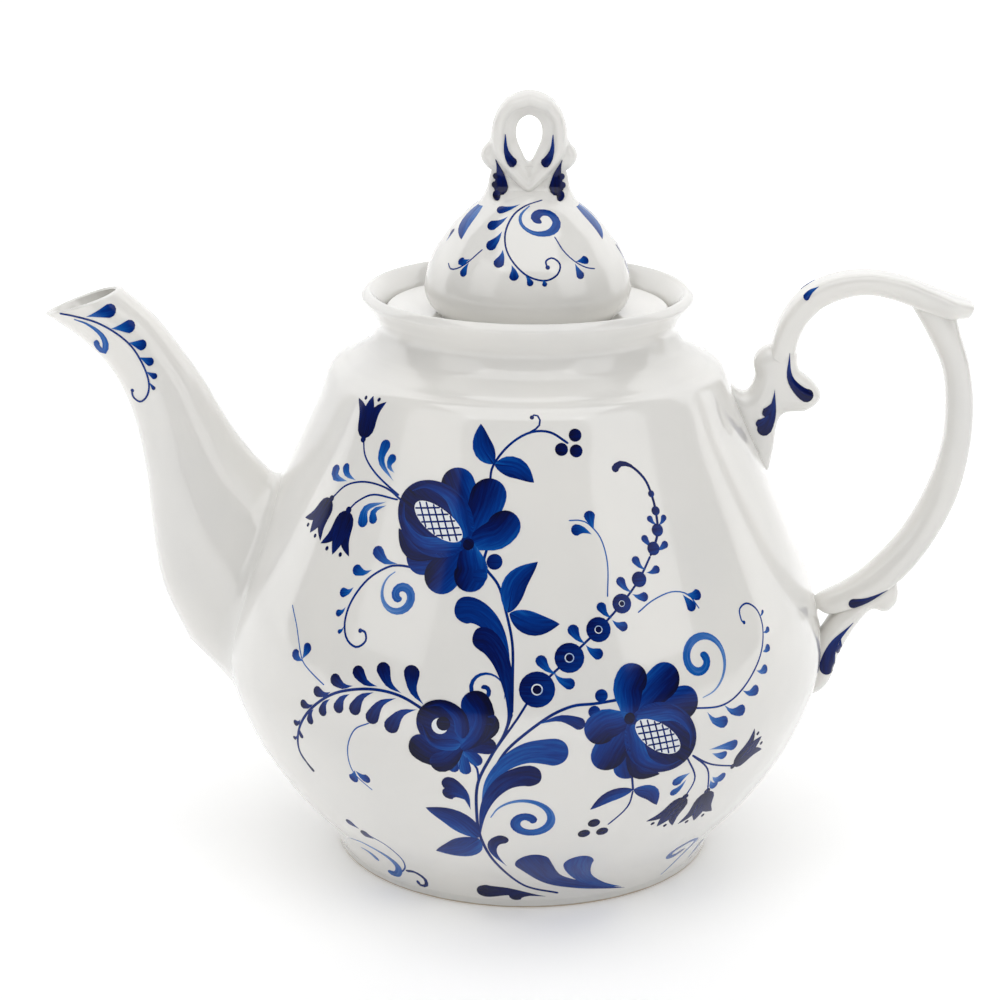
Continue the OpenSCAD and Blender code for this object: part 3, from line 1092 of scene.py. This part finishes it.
def small_rose(art, spot):
    """A rose seen from above, with a cup, a dark eye and a fringe of petals."""
    heart = (5, -5.5)
    fringe = ((2.6, -12.6, 3, 0.42), (6.2, -13, 3.2, 0.45), (10, -9.8, 3.4, 0.38), (14, -4.6, 4.4, 0.12))
    for x, y, width, first in fringe:
        art.stroke(spot, [(x, y), ((x + heart[0]) / 2, (y + heart[1]) / 2 + 0.4), heart], width, petal_shape,
                shade(first, first + 0.15, 0.12), 2)
    art.stroke(spot, [(13.6, 3.2), (10.5, 0), heart], 6.8, petal_shape, shade(0.1, 0.4, -0.22), 3)
    art.stroke(spot, [(6.2, 8.6), (9.6, 3.4), (8.6, -1.5), heart], 7.6, petal_shape,
            shade(0.1, 0.42, -0.24), 4)
    art.stroke(spot, [(-8, -4.6), (-2, -8), heart], 7.2, petal_shape, shade(0.06, 0.26, 0.2), 5)
    art.stroke(spot, [(-3, -10.8), (1, -9.6), heart], 5.6, petal_shape, shade(0.1, 0.26, 0.18), 6)
    art.stroke(spot, [(-6.4, 2), (0, 0.2), (7, -1.8)], 12.4, oval, lambda t, s: 0.04 + 0.4 * t - 0.12 * s, 7)
    art.stroke(spot, [(-4.4, 4.2), (0, 5.4), (4.6, 2.4), (5.4, -3)], 3.6, swelling,
            shade(0.04, 0.34, -0.2), 8)
    art.stroke(spot, [(-5, -0.4), (-2.6, -4.4), (1.4, -5), (5, -4.4)], 3, swelling,
            shade(0.12, 0.5, -0.16), 8)
    art.stroke(spot, [(-2.5, -0.5), (-0.4, -0.3), (1.7, 0)], 4.1, oval, shade(1.3, 1.3), 9)
    art.stroke(spot, [(-1.3, 0.3), (0.5, 0.4), (2.3, 0.5)], 3.6, oval, shade(0, 0.05), 10)


# ---- painting: the bouquet on the body
BODY_SHEET = RoundSheet(body_line)


def paint_stems():
    art = Painting("paint_stems", BODY_SHEET)
    main = [(10.5, 5), (0, 9), (-6, 18.5), (-8.5, 28.5), (-8.7, 38.5), (-8, 47.5), (-5.5, 55.5),
            (-3.5, 60.5), (-2, 66.5)]
    line(art, main, 0.8, 0.26)
    line(art, [(-2, 66.5), (-2, 74), (-2.2, 83), (-3.8, 91), (-5.4, 96.2), (-8.5, 100.5), (-8.2, 104.5)],
            0.7, 0.28)
    line(art, [(-5.5, 50.5), (-2.5, 57.6), (3.5, 64.8), (8.4, 68), (12.9, 68.4), (18, 69)], 0.75, 0.28)
    line(art, [(-9.5, 54), (-8.1, 51.5), (-7.9, 47)], 0.6, 0.3)
    line(art, [(-8.6, 119), (-8.2, 123.1), (-4.5, 128), (0.8, 131.1), (6.2, 131.2), (11, 128.4)], 0.6, 0.3)
    line(art, [(0.8, 131.1), (3.3, 132.6), (3.6, 134.4), (2.4, 135.2), (1.4, 134.6)], 0.5, 0.3)
    dot(art, (1.5, 134.6), 1.1)
    bell_stems = [
        [(-46.8, 124.4), (-44.4, 121), (-39.4, 117.8), (-31, 114)],
        [(-50.8, 109.5), (-47.5, 113.3), (-41.8, 115.3), (-35.1, 115.1), (-30, 113)],
        [(-44.1, 108.2), (-42.1, 110.7), (-38, 113), (-31, 113)],
        [(32, 51), (37, 46.6), (43.6, 43.4)],
        [(32, 51), (36.5, 45.3), (38.8, 37.6)],
        [(31, 50.5), (34, 43.4), (33.2, 37.7)]]
    for places in bell_stems:
        line(art, places, 0.5, 0.32)
    line(art, [(20.8, 43.2), (20.4, 38), (17.2, 32.4)], 0.5, 0.3)
    line(art, [(20, 48), (20.8, 43.2)], 0.6, 0.25)
    return art


def paint_roses():
    large = Painting("paint_rose_large", BODY_SHEET)
    rose(large, Spot(BODY_SHEET, (-12.3, 105), 150), 1)
    right = Painting("paint_rose_right", BODY_SHEET)
    rose(right, Spot(BODY_SHEET, (19, 64), -37), -1)
    small = Painting("paint_rose_small", BODY_SHEET)
    small_rose(small, Spot(BODY_SHEET, (-14.5, 62.5)))
    return large, right, small


def paint_bells():
    art = Painting("paint_bells", BODY_SHEET)
    for base, tip in (((-47, 124.6), (-48.2, 135)), ((-51, 109.2), (-54.6, 99.8)), ((-44.2, 108), (-45, 97)),
            ((43.6, 43.3), (50.2, 49.6)), ((38.7, 37.4), (39.6, 26.8)), ((33.2, 37.7), (29.4, 28.6))):
        bell(art, base, tip)
    pairs = (
        [(-38.6, 126), (-38.8, 121), (-33.6, 117)],
        [(-35.2, 123), (-36, 120.3), (-33.8, 118.8)],
        [(-53.6, 117), (-52.5, 114.2), (-47.6, 114.2)],
        [(-50.4, 118), (-48.6, 115.8), (-45, 115)],
        [(-38.8, 105), (-39.2, 109.4), (-34.1, 112)],
        [(-36, 106.4), (-36.8, 109.3), (-33.8, 111.2)],
        [(42.9, 50.2), (39.8, 51), (35.8, 51.4)],
        [(40.6, 48), (38.4, 48.8), (36.6, 50)],
        [(42.4, 41), (40, 40.6), (38.6, 42)],
        [(41, 38.6), (39.4, 39), (38.4, 41)],
        [(29.6, 42.4), (30.2, 44), (32.4, 45.6)],
        [(29.2, 39.6), (30.8, 41), (32, 43.6)])
    for i, places in enumerate(pairs):
        comma(art, places, 2.6 if i % 2 else 3.2, 0.42, 0.86)
    return art


def paint_leaves():
    art = Painting("paint_leaves", BODY_SHEET)
    for stalk, tip, width, bend in (
            ((-8.1, 123.6), (-12.2, 132.8), 5.2, 0.12), ((-7.8, 123.5), (2, 119.6), 5.4, 0.14),
            ((-3.2, 90), (2.7, 101.6), 6, 0.14), ((-2.9, 89.8), (6.8, 87.4), 6, -0.1),
            ((-9, 28.5), (-18.8, 37.4), 7.8, -0.14), ((-9, 28.2), (-19.6, 21.2), 8, 0.1),
            ((20.7, 43.6), (12.9, 38.4), 4, -0.12), ((20.9, 43.6), (26.8, 37), 4.4, 0.16)):
        leaf(art, stalk, tip, width, bend)
    comma(art, [(-13.8, 89.6), (-9.8, 90), (-6, 86.8), (-3.6, 80.6), (-2.4, 71)], 6.8, 0.3, 0.5, 2)
    comma(art, [(-9.8, 83.6), (-7, 83.4), (-4.4, 79.4), (-2.8, 73), (-2.4, 66), (-3.6, 60.5)],
            6.2, 0.12, 0.36, 3)
    comma(art, [(7.9, 55.6), (4.6, 56.6), (0.4, 56.2), (-3.4, 52.8), (-6.3, 47), (-7.8, 39)],
            7.4, 0.44, 0.6, 1)
    comma(art, [(3.3, 49), (0.4, 49.8), (-3, 48), (-5.8, 43.4), (-7.6, 37), (-8.6, 29)], 6.4, 0.14, 0.42, 2)
    comma(art, [(1, 22), (3, 18), (7.6, 11.5), (15, 8), (24, 5.2), (31.5, 3.2)], 9, 0.3, 0.42, 1)
    comma(art, [(13.4, 21), (13.6, 16.4), (16.4, 11), (22, 7), (30, 4)], 8, 0.42, 0.5, 2)
    comma(art, [(-12.6, 6.2), (-9.4, 5.6), (-3.4, 5.8), (6.8, 4)], 5.4, 0.06, 0.26, 1)
    comma(art, [(-2.8, 3), (-0.6, 4.8), (4, 4.6)], 4, 0.1, 0.26, 2)
    comma(art, [(10.8, 63), (8.4, 64.6), (6, 65.2), (2.4, 63.8)], 3.2, 0.24, 0.5)
    comma(art, [(-14.8, 46.6), (-12.6, 45.8), (-10.6, 43), (-9.8, 38.4)], 4.6, 0.1, 0.5)
    comma(art, [(-14.8, 42.4), (-12.6, 43.4), (-10.4, 41.4)], 4.2, 0.1, 0.5)
    comma(art, [(-3, 29), (-5.8, 27), (-6.2, 23), (-3.6, 17.4)], 3.8, 0.1, 0.5)
    return art


def paint_beads():
    """A string of berries that arches up the right side, with small leaves in pairs."""
    art = Painting("paint_berries", BODY_SHEET)
    arc = [(-4, 59), (-1.1, 65.1), (2.4, 72.3), (8.4, 79.6), (14.3, 85.7), (19.6, 91.1), (24.1, 96.1),
            (27.6, 101), (30.4, 105.7), (31.2, 110.7), (31, 115.2), (30, 118.7), (27.2, 121.8),
            (24.1, 122.7), (22.6, 121.6)]
    line(art, arc[:8], 0.6, 0.26)
    line(art, arc[7:], 0.7, 0.2)
    comma(art, [(22, 121.2), (24, 122.8), (27, 122), (29.8, 119)], 2, 0.14, 0.2)
    sizes = (9, 7.5, 6.3, 5, 4, 3.5, 3.3, 2.4, 1.8)
    places = (arc[2], arc[3], arc[4], arc[5], arc[6], (28.7, 102.6), (30.6, 106.6), (31.2, 111), (31, 115))
    for place, size in zip(places, sizes):
        bead(art, place, size)
    fern(art, [(3.4, 79.2, 6, 75.8, 3), (9.6, 86, 11.6, 82.6, 3), (15.5, 90.8, 17.2, 88, 2.6),
            (20.2, 96.2, 22.1, 93.3, 2.5), (24.2, 100.6, 26, 98, 2.2), (27.2, 105.2, 29, 102.8, 2),
            (29.4, 109.5, 30.8, 107.8, 1.7)], 0.3, 0.66, -0.14)
    fern(art, [(8.3, 73.8, 5.4, 76.2, 3), (13.8, 80.4, 11.6, 82.4, 3), (19.3, 86.1, 17.2, 87.6, 2.6),
            (24.5, 92.2, 22.1, 93, 2.5), (28.3, 97.9, 26, 97.4, 2.2), (31.6, 103.2, 29, 102.2, 2),
            (32.8, 109.2, 31, 107.6, 1.7)], 0.3, 0.7, 0.14)
    for place in ((12.9, 130.3), (9.1, 127.1), (12.9, 126.6)):
        dot(art, place, 3.3, 0.06, 2)
    for place in ((14.2, 33.6), (12.6, 30), (16.4, 30.2)):
        dot(art, place, 3.2, 0.06, 2)
    dot(art, (-6.4, 101.4), 4, 0.22, 2)
    dot(art, (-9.2, 98), 3.7, 0.34, 9)
    dot(art, (14, 70.2), 3.3, 0.32, 2)
    dot(art, (12.6, 66.4), 3.1, 0.32, 2)
    return art


def coil(art, centre, reach, start, sweep, width, first, last):
    """A spiral stroke that winds in to its centre and swells on the way."""
    path = []
    for k in range(25):
        t = k / 24
        angle = math.radians(start + sweep * t)
        radius = 0.12 * reach + 0.88 * reach * (1 - t) ** 1.5
        path.append((radius * math.cos(angle), radius * math.sin(angle)))
    art.stroke(Spot(art.sheet, centre), path, width, swelling, shade(first, last), 1)


def paint_spirals():
    art = Painting("paint_spirals", BODY_SHEET)
    coil(art, (-25.6, 91.6), 6.2, 115, 560, 2.2, 0.84, 0.55)
    coil(art, (34.6, 75.2), 9.6, -95, 545, 2.2, 0.84, 0.55)
    coil(art, (1, 35), 9.4, 172, -560, 2.6, 0.8, 0.45)
    coil(art, (-7.2, 71.8), 5.6, -20, 520, 1.1, 0.5, 0.3)
    return art


def paint_sprigs():
    art = Painting("paint_sprigs", BODY_SHEET)
    left_fern = [(-17, 65.2), (-22, 68.1), (-26.7, 68.8), (-31.5, 67.8), (-36.5, 65.2), (-41, 60.4),
            (-44.4, 54.6), (-46.5, 48.5), (-46.9, 44), (-45, 40.4)]
    line(art, left_fern, 0.75, 0.3)
    comma(art, [(-44.6, 39.6), (-46, 42), (-46.9, 45.4)], 1.3, 0.1, 0.2)
    fern(art, [(-20.2, 74.2, -18, 67, 4.4), (-26, 74.2, -22.4, 69, 4), (-31.3, 72.4, -27.3, 69.6, 3.7),
            (-36.3, 69.2, -32.4, 68.4, 3.4), (-40.3, 64.9, -37.2, 65.4, 2.9),
            (-43.6, 60.3, -41.2, 60.8, 2.5), (-46.1, 54, -44.6, 55.4, 1.8), (-47.4, 49, -46.4, 50, 1.2)],
            0.05, 0.5, -0.2)
    fern(art, [(-23.4, 60.1, -19.2, 65.6, 4.2), (-27.3, 61.4, -23.3, 67.6, 3.9),
            (-31.1, 62.6, -27.9, 68, 3.6), (-34.8, 62, -32.9, 66.2, 3.3), (-38.5, 59.8, -37.2, 63.6, 2.8),
            (-41.7, 56.2, -41, 59.6, 2.4), (-44.8, 50.6, -45, 53.6, 1.6)], 0.1, 0.5, 0.2)
    under_rose = [(-22.6, 98.2), (-27, 98.3), (-30.1, 97.2), (-33.9, 93.6), (-36.4, 88.1), (-36.8, 83),
            (-35.5, 79.2), (-33, 77.8), (-31.2, 79.6), (-31.6, 81.6), (-32.8, 82)]
    line(art, under_rose, 0.6, 0.34)
    dot(art, (-32.8, 81.8), 1.2, 0.3)
    fern(art, [(-32.6, 100.8, -27.6, 98.6, 3.4), (-37, 95.6, -33.4, 96, 3), (-39, 89.7, -36.8, 91.2, 2.6),
            (-38.9, 84.7, -37.5, 86.3, 1.9), (-37.6, 80.5, -36.8, 81.8, 1.2)], 0.34, 0.76, -0.2)
    long_right = [(31, 64), (38.3, 62.7), (43.8, 65.3), (49.6, 71.3), (52.2, 77.3), (52.1, 82.1),
            (49.6, 84.8), (47, 84.2), (46.6, 81.8), (47.2, 80.6)]
    line(art, long_right, 0.5, 0.4)
    dot(art, (47.2, 80.8), 1, 0.36)
    fern(art, [(38.6, 58.8, 34.8, 62, 3.4), (43, 60.4, 38.8, 62.6, 3.2), (47, 64.1, 43.6, 64.8, 2.9),
            (50.4, 68.2, 48, 68.4, 2.5), (52.4, 72.8, 50.7, 72.4, 2.1), (53.7, 77.1, 52, 76.8, 1.6),
            (53.5, 81.6, 52.1, 80.8, 1)], 0.4, 0.78, 0.2)
    loose = (
        ([(16.8, 92.9), (17.6, 100.3), (16.8, 106.1), (14.5, 109.6), (12.4, 110.7), (9.8, 110.8)],
         ([(14.6, 112.8), (14.8, 110.8), (15.4, 108.4)], [(10.2, 108.4), (12.6, 108.6), (14.8, 107.4)])),
        ([(22.7, 88.6), (26.3, 90.9), (30.9, 92.1), (34.6, 90.8), (36.6, 87)],
         ([(37.8, 90.6), (36.2, 90.2), (34, 91)], [(35.2, 86.8), (34.6, 88.6), (33.4, 91)])),
        ([(-28.4, 60), (-31.4, 57.4), (-33.2, 52.3), (-33.6, 46.9), (-32.7, 43.3), (-29.8, 39.8)],
         ([(-34.4, 41.6), (-33.4, 42.6), (-32.8, 45)], [(-29.6, 43.2), (-31.2, 43.4), (-32.6, 45)])),
        ([(-52, 82.5), (-48.8, 78), (-45.8, 71.6), (-44, 69.6), (-38.9, 66.6)],
         ([(-48, 72.6), (-47, 71), (-45.2, 70.6)], [(-44.4, 75.4), (-44.8, 73), (-45.4, 71)])))
    for stem_places, commas in loose:
        line(art, stem_places, 0.35, 0.6)
        for places in commas:
            comma(art, places, 3, 0.3, 0.7)
    return art


def paint_foot():
    art = Painting("paint_foot", BODY_SHEET)
    line(art, [(-37.6, 20.8), (-34, 18.4), (-32.4, 14), (-33.4, 9.6), (-36, 6.6)], 0.5, 0.42)
    line(art, [(-34.2, 7.6), (-31, 8.2), (-28.4, 6.4), (-28.8, 3.8), (-31, 3.4), (-31.4, 5)], 1.1, 0.22)
    comma(art, [(-40, 21.2), (-38.6, 20.6), (-36.8, 19.6)], 3.6, 0.1, 0.3)
    comma(art, [(-42.8, 24.2), (-41.6, 23.4), (-39.8, 22.2)], 2.9, 0.2, 0.4)
    scrolls = (
        ([(-51, 13.4), (-44.6, 14.6), (-39, 12.6), (-36.6, 8.6), (-38.6, 5), (-42.6, 4.4)], 2.2, 0.8, 0.56),
        ([(-49.4, 10.6), (-46.4, 10), (-44.2, 7.6)], 2, 0.76, 0.6),
        ([(45.4, 3.4), (49.4, 6.6), (51.8, 10.6), (50.6, 14.4), (46.4, 15.6), (42.8, 13.6), (43, 11),
          (46, 10.4), (48.6, 11.8)], 1.9, 0.72, 0.5),
        ([(58.4, 4.4), (60.6, 6.6), (61.4, 9.6)], 1.7, 0.7, 0.42))
    for places, width, first, last in scrolls:
        spot, path = through(art.sheet, places)
        art.stroke(spot, path, width, swelling, shade(first, last), 1)
    return art


# ---- painting: lid, knob, spout and handle
def paint_lid():
    art = Painting("paint_lid", RoundSheet(dome_line), "lid")
    stem_line = [(24, 181), (-2.3, 180.1), (-16.1, 177.8), (-18.2, 173.8), (-13, 169.4), (-2.2, 165.1),
            (9, 163.4), (17, 164.6), (20, 167), (16, 168.6), (11.4, 168), (11.6, 166.6)]
    line(art, stem_line, 0.5, 0.3)
    dot(art, (12, 166.5), 1.2, 0.28)
    fern(art, [(-33.4, 179, -12, 180.2, 2.8), (-32.8, 175.6, -21, 177.6, 3.2),
            (-26.9, 171.3, -21.4, 174.4, 3.1), (-18.5, 167.5, -17.3, 170.4, 3), (-8.3, 164.5, -10, 167, 2.6),
            (1.1, 162.9, -1.4, 164.6, 1.8), (9.4, 162.6, 8.4, 163.6, 1.4)], 0.24, 0.66, -0.1)
    spot, path = through(art.sheet, [(1.5, 180), (-8, 178), (-5, 175.8), (5.6, 174.2), (18.4, 174.4),
            (26.5, 176.2), (24, 178.2), (13, 178.6), (6.8, 177.4), (12, 176.4)])
    art.stroke(spot, path, 2.3, swelling, shade(0.74, 0.36), 1)
    line(art, [(20.2, 173.4), (24.4, 170.1), (30.2, 167.5), (36.8, 165.8), (43.4, 165.1)], 0.35, 0.4)
    line(art, [(-32, 170), (-38.7, 166.9), (-44.5, 165), (-51.1, 164.2), (-55.6, 165.4)], 0.4, 0.36)
    for places in ([(40.6, 167.8), (37, 167.4), (31, 167.4)], [(32.6, 163.2), (31, 165.2), (30, 167)],
            [(-46.4, 167.2), (-43.6, 166.4), (-38.6, 167.4)], [(-40.6, 163), (-40, 164.8), (-38.6, 166.6)]):
        comma(art, places, 2.4, 0.3, 0.7)
    leaf(art, (-74, 179.6), (-55, 171.2), 6, -0.12, 0.66, 0.46)
    leaf(art, (78, 179.6), (65, 171), 6, 0.12, 0.66, 0.46)
    for places in ([(84, 168.4), (83, 166.6), (84, 164.6)], [(84, 164.2), (85, 162.2), (87, 160.2)],
            [(-75, 172.6), (-73.6, 171), (-73, 169.6)]):
        comma(art, places, 1.8, 0.2, 0.6)
    return art


def paint_knob():
    art = Painting("paint_knob", FrontSheet(0.25, knob, stem), "lid")
    for s in (-1, 1):
        comma(art, [(3.5 * s, 189.2), (4.8 * s, 190.4), (6 * s, 193), (6.3 * s, 197.2)], 2.3, 0.08, 0.44)
        comma(art, [(7.4 * s, 181.6), (7.2 * s, 184), (7.5 * s, 187), (8.6 * s, 190.6)], 3.8, 0.03, 0.2)
        for x, z, size in ((8.4, 186, 1.7), (8.6, 183.8, 1.9), (8.3, 181.4, 2)):
            dot(art, (x * s, z), size, 0.06, 3)
    return art


def paint_spout():
    art = Painting("paint_spout", FrontSheet(0.1, spout))
    line(art, [(-123.6, 149.1), (-119.6, 148.8), (-113.8, 147.5), (-108.4, 144.6), (-104.2, 140.8),
            (-101.2, 135.5), (-100, 131.2), (-100.6, 127.8), (-102.6, 125.8), (-104.6, 126.6),
            (-105, 128.3)], 0.5, 0.34)
    dot(art, (-104.8, 128.6), 1, 0.3)
    fern(art, [(-110.2, 150.4, -116.1, 148.9, 3.6), (-105.2, 146.2, -109.6, 145.8, 3.4),
            (-102, 141.4, -105.2, 142.1, 2.9), (-99.8, 137, -102.5, 138.2, 2.3),
            (-98.6, 133.2, -100.8, 134.4, 1.7), (-98.8, 130, -100, 131.6, 1.1)], 0.26, 0.7)
    spot, path = through(art.sheet, [(-119.6, 147.8), (-116.2, 146.8), (-112.6, 144.2), (-111.4, 141.2),
            (-112.4, 138.8), (-114, 140.4), (-113.8, 142.2)])
    art.stroke(spot, path, 1.7, swelling, shade(0.72, 0.5), 1)
    return art


def paint_handle():
    art = Painting("paint_handle", FrontSheet(0.1, upper_root, arch))
    comma(art, [(76.3, 127.6), (73.1, 129), (69.9, 133.2), (69.7, 139.7)], 3.6, 0.04, 0.34)
    comma(art, [(62.1, 117.8), (64.1, 119.6), (65.6, 123.8), (66.1, 129.8)], 4.2, 0.08, 0.36)
    comma(art, [(62.9, 123.2), (64.1, 123.6), (65.7, 126.4)], 2.6, 0.08, 0.3, 2)
    comma(art, [(61.3, 120.2), (62.7, 120.6), (64.7, 122.8)], 2.4, 0.1, 0.3, 2)
    comma(art, [(73, 154.4), (74.6, 156.4), (76.6, 157.8)], 1.5, 0.34, 0.6)
    art.sheet = FrontSheet(0.1, lower_root, drop)
    comma(art, [(88.3, 69.6), (90.7, 70), (93.7, 71), (98.7, 73.8)], 2.8, 0.08, 0.3)
    comma(art, [(83.7, 48.8), (83.5, 53.2), (85.1, 58.4), (89.9, 64)], 4.6, 0.14, 0.36)
    comma(art, [(86.9, 54.8), (86.5, 56.2), (86.7, 59.4)], 2.2, 0.1, 0.3, 2)
    return art


for art in (paint_stems(), *paint_roses(), paint_bells(), paint_leaves(), paint_beads(), paint_spirals(),
        paint_sprigs(), paint_foot(), paint_lid(), paint_knob(), paint_spout(), paint_handle()):
    art.finish()


# ---- studio
def make_floor():
    """A wide pale sheet that curves up behind the object."""
    reach = 8.0
    height = 4.0
    bend_y = 1.2
    bend_r = 0.8
    turns = [math.pi / 2 * k / 16 for k in range(1, 17)]
    bend = [(bend_y + bend_r * math.sin(t), bend_r - bend_r * math.cos(t)) for t in turns]
    profile = [(-reach, 0), (bend_y, 0)] + bend + [(bend_y + bend_r, height)]
    points = [(x, y, z) for y, z in profile for x in (-reach, reach)]
    faces = [(2 * i, 2 * i + 1, 2 * i + 3, 2 * i + 2) for i in range(len(profile) - 1)]
    mesh = bpy.data.meshes.new("studio_floor")
    mesh.from_pydata(points, [], faces)
    mesh.shade_smooth()
    mesh.materials.append(floor_material())
    floor = bpy.data.objects.new("studio_floor", mesh)
    bpy.context.scene.collection.objects.link(floor)


def area_light(name, place, target, size, power, size_y=None):
    data = bpy.data.lights.new(name, "AREA")
    data.shape = "RECTANGLE"
    data.size = size
    data.size_y = size_y or size
    data.energy = power
    light = bpy.data.objects.new(name, data)
    light.location = place
    light.rotation_mode = "QUATERNION"
    light.rotation_quaternion = (Vector(target) - Vector(place)).to_track_quat("-Z", "Y")
    bpy.context.scene.collection.objects.link(light)


def make_lights():
    middle = (0, 0, 0.1)
    area_light("left_softbox", (-1, -0.75, 0.8), middle, 0.8, 2.5, 1)
    area_light("right_softbox", (1, -0.75, 0.8), middle, 0.8, 3, 1)
    area_light("top_softbox", (0, -0.35, 1.28), middle, 1.4, 10.5)
    world = bpy.data.worlds.new("studio")
    world.use_nodes = True
    world.node_tree.nodes["Background"].inputs["Color"].default_value = (1, 1, 1, 1)
    world.node_tree.nodes["Background"].inputs["Strength"].default_value = 0.12
    bpy.context.scene.world = world


def make_camera():
    """Stands in front and a little above, as for a catalogue picture."""
    distance = 0.7093
    height = 0.3143
    tilt = math.radians(17.04)
    yaw = math.radians(0.56)
    roll = math.radians(-0.41)
    forward = Vector((-math.sin(yaw) * math.cos(tilt), math.cos(yaw) * math.cos(tilt), -math.sin(tilt)))
    right = Vector((math.cos(yaw), math.sin(yaw), 0))
    up = right.cross(forward)
    turned_right = math.cos(roll) * right - math.sin(roll) * up
    turned_up = math.sin(roll) * right + math.cos(roll) * up
    data = bpy.data.cameras.new("camera")
    data.lens = 98.35
    data.sensor_width = 36
    camera = bpy.data.objects.new("camera", data)
    axes = Matrix((turned_right, turned_up, -forward)).transposed()
    camera.matrix_world = Matrix.Translation((0, -distance, height)) @ axes.to_4x4()
    bpy.context.scene.collection.objects.link(camera)
    bpy.context.scene.camera = camera


make_floor()
make_lights()
make_camera()
bpy.context.scene.view_settings.view_transform = "Standard"
